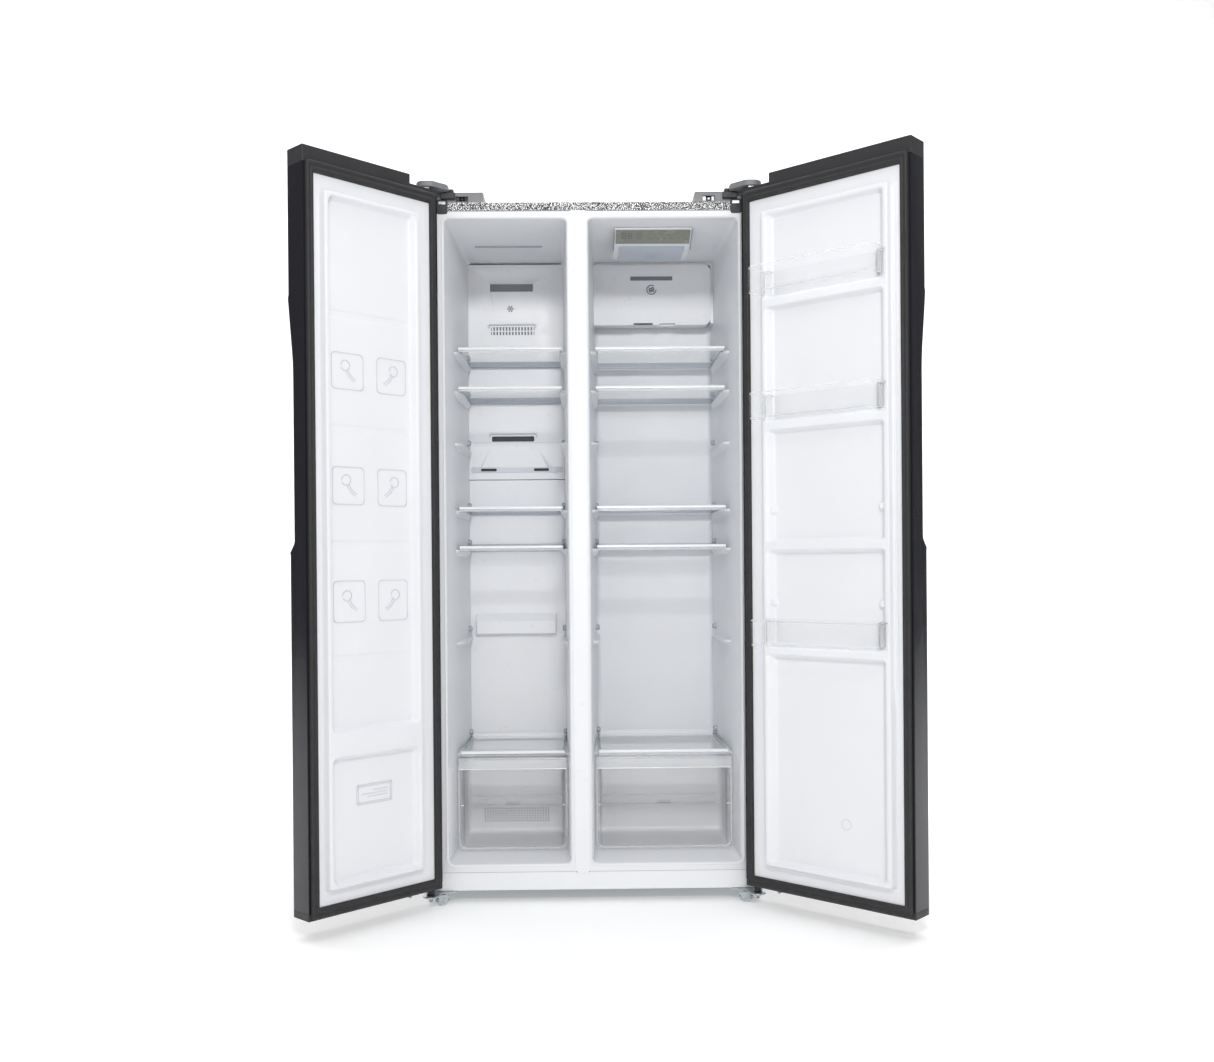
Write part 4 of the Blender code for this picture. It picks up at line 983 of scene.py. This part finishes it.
def door_case(door):
    """The painted wrap with its returns, the end caps and the scooped grip."""
    lip, sheet, name = 0.0235, 0.001, door.name
    section = [(lip, INNER_FACE)] + door_profile(door)
    section += [(door.wide - lip, INNER_FACE), (door.wide - lip, INNER_FACE - sheet)]
    section += list(reversed(door_profile(door, sheet))) + [(lip, INNER_FACE - sheet)]
    made = prism(section, 0.0645, 1.7317)
    wrap = piece(f"{name}_wrap", made, door, name, "door_paint", (f"{name}_skin",), sharp=25)
    cut(wrap, scoop(door, 0.0021), door)
    grip(door)
    hole = arc((door.pivot_in, 0.0), 0.0045, 0, 345, 23)
    caps = (
        ("foot_cap", "bottom_cap", 0.048, 0.0642, 0.0012, (prism(hole, 0.04, 0.08),)),
        ("head_cap", "top_cap", 1.732, 1.77, 0.0018, (
            block((-0.01, 0.08), (-0.1, 0.1), (1.748, 1.8)), prism(hole, 1.735, 1.76),
        )),
    )
    for label, node, low, high, rounding, cutters in caps:
        made = prism(door_profile(door), low, high)
        look, node = "charcoal_plastic", f"{name}_{node}"
        cap = piece(f"{name}_{label}", made, door, name, look, (node,))
        for cutter in cutters:
            cut(cap, cutter, door)
        soften(cap, rounding)


def door_seal(door):
    """The magnetic seal: soft folds each side of a flat band, rounded at its corners."""
    profile = ((0, 0), (0, 0.006), (0.1, 0.0092), (0.3, 0.0095), (0.42, 0.0078), (0.54, 0.0078))
    profile += ((0.62, 0.0095), (0.85, 0.0092), (0.97, 0.005), (1, 0))
    loops = []
    for share, lift in profile:
        along = (0.01 + 0.0145 * share, door.wide - 0.006 - 0.0195 * share)
        up = (0.052 + 0.0235 * share, 1.737 - 0.0255 * share)
        out = INNER_FACE + 0.0003 + lift
        radius = 0.008 - 0.004 * share
        loops.append([(u, out, v) for u, v in rounded(along, up, (radius,) * 4, 4)])
    name = f"{door.name}_gasket"
    made = rings(loops, closed=True)
    piece(f"{name}_folds", made, door, door.name, "gasket_rubber", (name,), sharp=60)


DYKE = 0.018


def dyke(door, u, v):
    """The raised border that runs round a door's inner panel."""
    return DYKE * smooth(inside(u, v, (0.062, door.far), (0.106, 1.68), 0.012), 0.007)


def panel_grid(door, across, up, reach):
    """Grid lines over the whole of a door's inner panel."""
    us = ticks(0.025, door.wide - 0.026, 0.02, across, reach, 0.0024)
    return us, ticks(0.076, 1.711, 0.03, up, 0.0105, 0.0021)


def freezer_panel(door):
    """Height above the inner face of the freezer door's moulded panel."""
    recesses = (((0.078, 0.319), (0.46, 1.666)), ((0.078, 0.319), (0.12, 0.406)))
    bands = ((1.397, 1.416), (1.139, 1.157), (0.877, 0.894), (0.614, 0.634))

    def height(u, v):
        lift = dyke(door, u, v)
        for across, up in recesses:
            lift *= 1 - smooth(inside(u, v, across, up, 0.016) + 0.002, 0.012)
        for band in bands:
            lift -= 0.0016 * smooth(inside(u, v, (0.091, 0.312), band, 0.009), 0.0025)
        return lift

    fine = (0.067, 0.085, door.far - 0.005, 0.312)
    edges = [0.11, 0.124, 0.402, 0.464, 1.661, 1.676] + [z for band in bands for z in band]
    return (*panel_grid(door, fine, edges, 0.012), height)


def fridge_panel(door):
    """Height above the inner face of the fridge door's panel: pockets between shelf ledges."""
    heights = [0.12, 0.618, 0.637, 0.866, 0.885, 1.152, 1.17, 1.446, 1.465, 1.666]
    pockets = [((0.076, 0.394), heights[i : i + 2]) for i in range(0, len(heights), 2)]
    bosses = ((0.961, 0.022), (0.742, 0.022))

    def height(u, v):
        lift = dyke(door, u, v)
        for across, up in pockets:
            beside = smooth(min(u - across[0], across[1] - u), 0.019)
            lift *= 1 - beside * smooth(min(v - up[0], up[1] - v) + 0.001, 0.01)
        for level, tall in bosses:
            for wall in (0.09, 0.38):
                up = (level - tall / 2, level + tall / 2)
                near = inside(u, v, (wall - 0.01, wall + 0.01), up, 0.008)
                lift = max(lift, 0.012 * smooth(near, 0.005))
        taper = smooth(v - 0.46, 0.12) * smooth(1.69 - v, 0.03)
        ridge = inside(u, v, (door.far - 0.002, door.far + 0.009), (0.455, 1.675), 0.005)
        return max(lift, 0.006 * taper * smooth(ridge, 0.004))

    fine = (0.067, 0.08, 0.096, 0.374, 0.39, door.far, door.far + 0.008)
    edges = [0.11, 1.676] + heights
    edges += [level + lift for level, _ in bosses for lift in (-0.009, 0.009)]
    return (*panel_grid(door, fine, edges, 0.01), height)


def door_panel(door, shape):
    us, vs, height = shape(door)
    made, name = relief(us, vs, height, -0.0018), f"{door.name}_liner"
    piece(f"{name}_panel", made, door.panel, door.name, "liner_white", (name,), sharp=70)


def freezer_marks(door):
    """Raised square frames with a generic ring-and-stem mark, and a blank label frame; the grey of
    their moulded lines is painted shade.
    """
    frames, marks = [], []
    for low, high in ((1.238, 1.32), (0.976, 1.061), (0.708, 0.802)):
        for left, right, lean in ((0.099, 0.181, 1), (0.219, 0.304, -1)):
            loop = rounded((left, right), (low, high), (0.01,) * 4, 4)
            frames.append(loop + loop[:1])
            u, v = (left + right) / 2, (low + high) / 2
            marks.append(arc((u - 0.006 * lean, v + 0.013), 0.012, 0, 330, 14))
            stem = mm((-4 * lean, 1), (6 * lean, -14), (18 * lean, -22), u=u, v=v)
            marks += [stem, [(u + 0.004 * lean, v + 0.004) for u, v in stem]]
    made = strokes(frames + marks, 0.0018, (-0.0002, 0.0012))
    # The grey of these lines is painted shade of the moulded relief.
    piece("freezer_panel_marks", made, door.panel, door.name, "panel_line")
    loop = rounded((0.149, 0.246), (0.288, 0.333), (0.003,) * 4, 3)
    inner = rounded((0.153, 0.242), (0.292, 0.329), (0.002,) * 4, 3)
    bars = [mm((162, z), (end, z)) for z, end in ((318, 200), (311, 232), (304, 216))]
    made = strokes([loop + loop[:1], inner + inner[:1]] + bars, 0.0016, (-0.0002, 0.001))
    piece("freezer_label_frame", made, door.panel, door.name, "panel_line")


def fridge_marks(door):
    """A small plain ring low on the panel, where such panels carry a moulder's mark; its grey is
    painted shade of the moulded line.
    """
    loop = arc((0.28, 0.235), 0.012, 0, 345, 23)
    made = strokes([loop + loop[:1]], 0.0012, (-0.0002, 0.0006))
    piece("fridge_panel_ring", made, door.panel, door.name, "panel_line")


def bin_plan(inset):
    """A bin's plan: narrow between the panel's borders, wider in front, rounded outside."""
    near, far = 0.07 + inset, 0.402 - inset
    throat_near, throat_far = 0.09 + inset, 0.38 - inset
    back, knee = INNER_FACE + 0.0007 + inset, INNER_FACE + 0.0188 + inset
    front, radius = INNER_FACE + 0.087 - inset, 0.02 - inset
    points = [(throat_near, back), (throat_near, knee)]
    points += [(near + 0.002, knee + 0.001), (near, knee + 0.004)]
    points += arc((near + radius, front - radius), radius, 180, 90, 10)
    points += arc((far - radius, front - radius), radius, 90, 0, 10)
    points += [(far, knee + 0.004), (far - 0.002, knee + 0.001)]
    return points + [(throat_far, knee), (throat_far, back)]


def bins(door):
    """Clear trays with a thicker bright rim and a stepped band below it."""
    for index in (1, 2, 3):
        node = f"door_bin_{index}"
        low, high = (corner.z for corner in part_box(node))
        outer = mm((5, 0), (2, 0.8), (0.4, 4), v=low)
        rim = mm((0.2, -14), (0, -13), (0, -0.4), (2, 0), (3.2, -1), v=high)
        floor = mm((3, 6), (5, 3), (8, 2.6), v=low)
        loops = [[(u, v, z) for u, v in bin_plan(inset)] for inset, z in outer + rim + floor]
        piece(f"{node}_tray", rings(loops), door, door.name, "clear_plastic", (node,), sharp=60)
        edge = [(along, out, high - 0.0016) for along, out in bin_plan(0.0016)]
        made = tube(edge, 0.0016, None, 8, UP)
        foot = [(along, out, low + 0.0022) for along, out in bin_plan(0.0024)[2:-2]]
        tube(foot, 0.0014, made, 6, UP)
        piece(f"{node}_rim", made, door, door.name, "clear_edge", sharp=70)
        tabs = bmesh.new()
        for u in (0.079, 0.387):
            block((u - 0.004, u + 0.004), (0.048, 0.054), (low + 0.006, high - 0.006), tabs)
        piece(f"{node}_tabs", tabs, door, door.name, "clear_edge", rounding=0.0015)


# ---------------------------------------------------------------- hinges, feet and rollers
def top_hinge_cover(label, side):
    """The moulded box along the top's front edge, with its window, and the cap over the arm."""
    node = f"top_hinge_cover_{label}"
    low, high = 1.7313, 1.758

    def reach(one, other):
        return sorted((side * one, side * other))

    x = reach(WIDTH / 2 - 0.001, 0.262)
    profile = [(0.002, low), (0.002, high - 0.004), (0.006, high)]
    profile += [(0.096, high), (0.105, high - 0.006), (0.105, low)]
    box = fixed(f"{node}_box", prism(profile, *x, "YZ"), "grey_plastic", (node,))
    cut(box, block((x[0] + 0.002, x[1] - 0.002), (0.0035, 0.103), (low - 0.01, high - 0.002)))
    window = (-0.3295, -0.2998) if side < 0 else (0.2807, 0.3117)
    cut(box, block(window, (-0.01, 0.0045), (1.7343, 1.7466)))
    soften(box, 0.0014)
    inner = bmesh.new()
    for start, end, drop in ((0.02, 0.3, 0.0), (0.42, 0.62, 0.003), (0.74, 0.96, 0.0)):
        left, right = [window[0] + (window[1] - window[0]) * share for share in (start, end)]
        block((left, right), (0.0052, 0.0105), (1.735 + drop, 1.7458 - drop), inner)
    look = "black_plastic" if side < 0 else "trim_white"
    fixed(f"{node}_terminals", inner, look, rounding=0.0008)
    near = WIDTH * 500 + 4
    cap = mm(
        (near, 12), (near, -40), (near - 4, -48), (408, -55), (402, -55.8), (384, -55.8),
        (378, -53.8), (348, -24), (346, -18), (346, 12),
    )
    made = prism([(side * u, v) for u, v in cap], 1.7542, 1.7685)
    fixed(f"{node}_arm_cap", made, "grey_plastic", rounding=0.0022)
    made = block(reach(0.366, 0.33), (-0.0095, 0.0017), (1.7385, 1.7535))
    post = mm((0, 0), (6, 0), (6.8, 1.5), (6.8, 6), (5.8, 8.4), (0, 8.4))
    turned(post, (side * 0.355, -0.0035, 1.7535), "Z", 22, made)
    turned(post, (side * 0.34, -0.0035, 1.7535), "Z", 6, made)
    fixed(f"{node}_screw_block", made, "black_plastic", rounding=0.001)
    apron = rounded(reach(0.3775, 0.3495), (1.7025, 1.7385), (0.006,) * 4)
    plate = prism(apron, -0.0013, 0.0006, "XZ")
    fixed(f"{node}_bush_face", plate, "black_plastic", rounding=0.0005)
    band = block(reach(0.3715, 0.3545), (-0.0016, 0.0), (1.7265, 1.7335))
    fixed(f"{node}_bush_band", band, "zinc_steel", rounding=0.0003)
    head = mm((0, 0), (3.2, 0), (2.8, 1.2), (0, 1.2))
    made = turned(head, (side * 0.355, -0.0035, 1.7619), "Z", 16)
    fixed(f"{node}_screw_head", made, "zinc_steel")


def bottom_hinge(label, side):
    """A plated bracket with a half-moon end, its collar, pin and lock nut."""
    node = f"bottom_hinge_{label}"
    pivot = (side * (WIDTH / 2 - 0.0165), -0.0368)
    moon = [(pivot[0] + side * x, pivot[1] + y) for x, y in arc((0, 0), 0.02, 0, -180, 28)]
    reach, inner = side * (WIDTH / 2 - 0.001), side * 0.338
    plan = [(reach, 0.058), (reach, -0.006)] + moon
    plan += [(pivot[0] - side * 0.024, -0.018), (inner, 0.004), (inner, 0.058)]
    fixed(f"{node}_bracket", prism(plan, 0.0257, 0.0297), "zinc_steel", (node,), 0.0009)
    corner = (side * 0.3827, 0.0259)
    fan = arc(corner, 0.0255, 270, 270 - 90 * side, 16)
    gusset = prism([corner] + fan, -0.0225, -0.0205, "XZ")
    for bend in (0.01, 0.018):
        turn = arc(corner, bend, 275, 270 - 85 * side, 12)
        tube([(x, -0.0228, z) for x, z in turn], 0.0006, gusset, 6)
    fixed(f"{node}_gusset", gusset, "zinc_steel", rounding=0.0004)
    centre = (*pivot, 0.0)
    collar = mm(
        (0, 29.7), (9, 29.7), (9.2, 32), (7.8, 33.5), (7.8, 45.5), (6.6, 47), (0, 47)
    )
    fixed(f"{node}_collar", turned(collar, centre), "black_plastic")
    pin = mm((0, 14), (3.4, 14), (4, 15), (4, 57), (3, 58), (0, 58))
    made = turned(pin, centre)
    nut = mm((0, 19.5), (7, 19.5), (7.6, 20.5), (7.6, 24.5), (7, 25.6), (0, 25.6))
    turned(nut, centre, "Z", 6, made)
    for index in range(5):
        ridge = mm((3.8, 0), (4.4, 0.3), (3.8, 0.6), v=0.015 + 0.0009 * index)
        turned(ridge, centre, "Z", 24, made)
    rivet = mm((0, 23.5), (4, 24), (5.5, 25.6), (0, 25.6))
    for along in (0.018, 0.044):
        place = (side * (WIDTH / 2 - along - 0.012), 0.03 + along * 0.2, 0.0)
        turned(rivet, place, "Z", 18, made)
    fixed(f"{node}_pin", made, "zinc_steel")


def door_stop(door):
    """The plated strip under the door that meets the bracket when the door is wide open."""
    profile = mm((30, 47.8), (30, 45), (78, 45), (83, 38.5), (86, 39.5), (81, 47.8))
    made = rings([[(along, out, z) for along, z in profile] for out in (-0.008, 0.01)])
    piece(f"{door.name}_stop_strip", made, door, door.name, "zinc_steel", rounding=0.0006)


def foot_and_roller(label):
    """A levelling foot with its nut and thread, and a grooved roller at the back."""
    foot = f"levelling_foot_{label}"
    low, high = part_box(foot)
    centre = ((low.x + high.x) / 2, (low.y + high.y) / 2, 0.0)
    pad = mm(
        (0, 0), (16.5, 0), (18, 1.5), (18, 6), (16.5, 7.8), (9, 9.2), (8.5, 10), (0, 10)
    )
    made = turned(pad, centre, "Z", 36)
    nut = mm((0, 9.5), (8, 9.5), (8.6, 10.5), (8.6, 15), (7.8, 16), (0, 16))
    turned(nut, centre, "Z", 6, made)
    thread = [(0, 16)]
    for index in range(7):
        thread += [(4.2, 16.1 + 1.2 * index), (5, 16.7 + 1.2 * index)]
    turned(mm(*thread, (0, 24.9)), centre, "Z", 24, made)
    piece(f"{foot}_body", made, in_row, foot, "zinc_steel", (foot,), sharp=30)
    roller = f"rear_roller_{label}"
    low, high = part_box(roller)
    hub = [(0, -11.2), (2.7, -11.2), (3, -10.8), (3, -6.2), (7, -5.8), (9, -4.6), (10, -5)]
    rim = [(10.5, -6), (12.1, -5.2), (12.5, -4)]
    tyre = []
    for start in (-3, -1, 1, 3):
        tyre += [(12.5, start), (12, start + 0.4), (12, start + 1.2)]
    back = [(radius, -across) for radius, across in reversed(hub + rim)]
    made = turned(mm(*hub, *rim, *tyre, *back), tuple((low + high) / 2), "X", 40)
    piece(f"{roller}_wheel", made, in_row, roller, "rubber_tyre", (roller,), sharp=35)


# ---------------------------------------------------------------- stage
def dress_cad():
    """Gives every CAD node that stays visible the finish of its own slot."""
    for part in frame["record"]["subparts"]:
        material, _ = LOOKS[part["material_slot"]]
        data = frame["nodes"][part["node"]].data
        data.materials.clear()
        data.materials.append(material)


# Each light: place, where it points, size and power.
LIGHTS = {
    "key": ((0.15, -3.1, 2.5), (0.0, 0.2, 0.9), (0.6, 0.4), 44),
    "front": ((-0.1, -3.6, 1.0), (0.0, 0.2, 0.9), (2.4, 1.6), 19),
    "overhead": ((0.0, -0.9, 4.6), (0.0, -0.9, 0.0), (6.0, 5.0), 125),
    "left": ((-3.0, -1.6, 1.8), (0.0, 0.0, 1.0), (1.6, 2.6), 2),
    "right": ((3.0, -1.6, 1.8), (0.0, 0.0, 1.0), (1.6, 2.6), 2),
    "backdrop_wash": ((0.0, 0.9, 3.6), (0.0, 3.9, 1.2), (8.0, 1.2), 190),
}


def lights():
    for name, (place, target, size, power) in LIGHTS.items():
        data = bpy.data.lights.new(name, "AREA")
        data.shape = "RECTANGLE"
        data.size, data.size_y = size
        data.energy = power
        lamp = linked(name, data)
        lamp.location = cabinet(*place)
        ahead = cabinet(*target) - lamp.location
        lamp.rotation_euler = ahead.to_track_quat("-Z", "Y").to_euler()


def studio():
    """A pale floor that curves up behind the object, and broad soft light."""
    path = [(-9.0, 0.0), (2.6, 0.0)] + arc((2.6, 1.4), 1.4, 270, 360, 16) + [(4.0, 8.0)]
    made = bmesh.new()
    rows = [[made.verts.new((x, y, z)) for y, z in path] for x in (-9.0, 9.0)]
    for index in range(len(path) - 1):
        made.faces.new((rows[0][index], rows[1][index], rows[1][index + 1], rows[0][index + 1]))
    mesh = bpy.data.meshes.new("backdrop")
    made.to_mesh(mesh)
    made.free()
    mesh.shade_smooth()
    nodes = finish("backdrop", (0.93, 0.93, 0.93), 0.9, mottle=0.004, relief=0.01)
    nodes.shader.inputs["Emission Color"].default_value = (1.0, 1.0, 1.0, 1.0)
    nodes.shader.inputs["Emission Strength"].default_value = 0.19
    mesh.materials.append(nodes.material)
    linked("backdrop", mesh)
    world = bpy.data.worlds.new("studio")
    bpy.context.scene.world = world
    world.use_nodes = True
    sky = world.node_tree.nodes["Background"].inputs
    sky["Color"].default_value = (0.97, 0.985, 1.0, 1.0)
    sky["Strength"].default_value = 0.16
    bpy.context.scene.view_settings.view_transform = "Standard"


def camera():
    """Square to the cabinet at standing height, turned a touch as the picture was taken."""
    data = bpy.data.cameras.new("camera")
    data.sensor_width = 36.0
    data.lens = 35.35
    data.shift_x, data.shift_y = 0.0032, 0.0309
    data.clip_end = 60.0
    eye = linked("camera", data)
    yaw, pitch, roll = -0.0136, -0.0037, 0.008
    turn = Matrix.Rotation(yaw, 3, "Z") @ Matrix.Rotation(pitch, 3, "X")
    turn = turn @ Matrix.Rotation(roll, 3, "Y") @ Matrix.Rotation(pi / 2, 3, "X")
    eye.matrix_world = Matrix.Translation(cabinet(-0.0127, -2.951, 0.8357)) @ turn.to_4x4()
    bpy.context.scene.camera = eye


dress_cad()
back_sheets()
inlet()
FREEZER_OPENING, FRIDGE_OPENING = (-0.36, -0.057), (-0.004, 0.369)
room("freezer", FREEZER_OPENING, (-0.4148, -0.0289))
room("fridge", FRIDGE_OPENING, (-0.0281, 0.4148))
wall_ribs("freezer", FREEZER_OPENING, (-0.3425, -0.0745), 0.43)
wall_ribs("fridge", FRIDGE_OPENING, (0.015, 0.35), 0.46)
front_pads("freezer", FREEZER_OPENING)
front_pads("fridge", FRIDGE_OPENING)
front_trims()
freezer_ducts()
ceiling_slot()
fridge_duct()
control_unit()
step_grille()
for number in (1, 2, 3, 4):
    shelf(f"freezer_shelf_{number}")
    shelf(f"fridge_shelf_{number}")
shelf("freezer_drawer_cover", "trim_white")
shelf("crisper_cover", "trim_white")
drawer("freezer_drawer")
drawer("crisper_drawer")
drawer_prints()
for leaf, shape in ((FREEZER, freezer_panel), (FRIDGE, fridge_panel)):
    door_case(leaf)
    door_seal(leaf)
    door_panel(leaf, shape)
    door_stop(leaf)
freezer_marks(FREEZER)
fridge_marks(FRIDGE)
bins(FRIDGE)
for label, side in (("left", -1), ("right", 1)):
    top_hinge_cover(label, side)
    bottom_hinge(label, side)
    foot_and_roller(label)
studio()
lights()
camera()
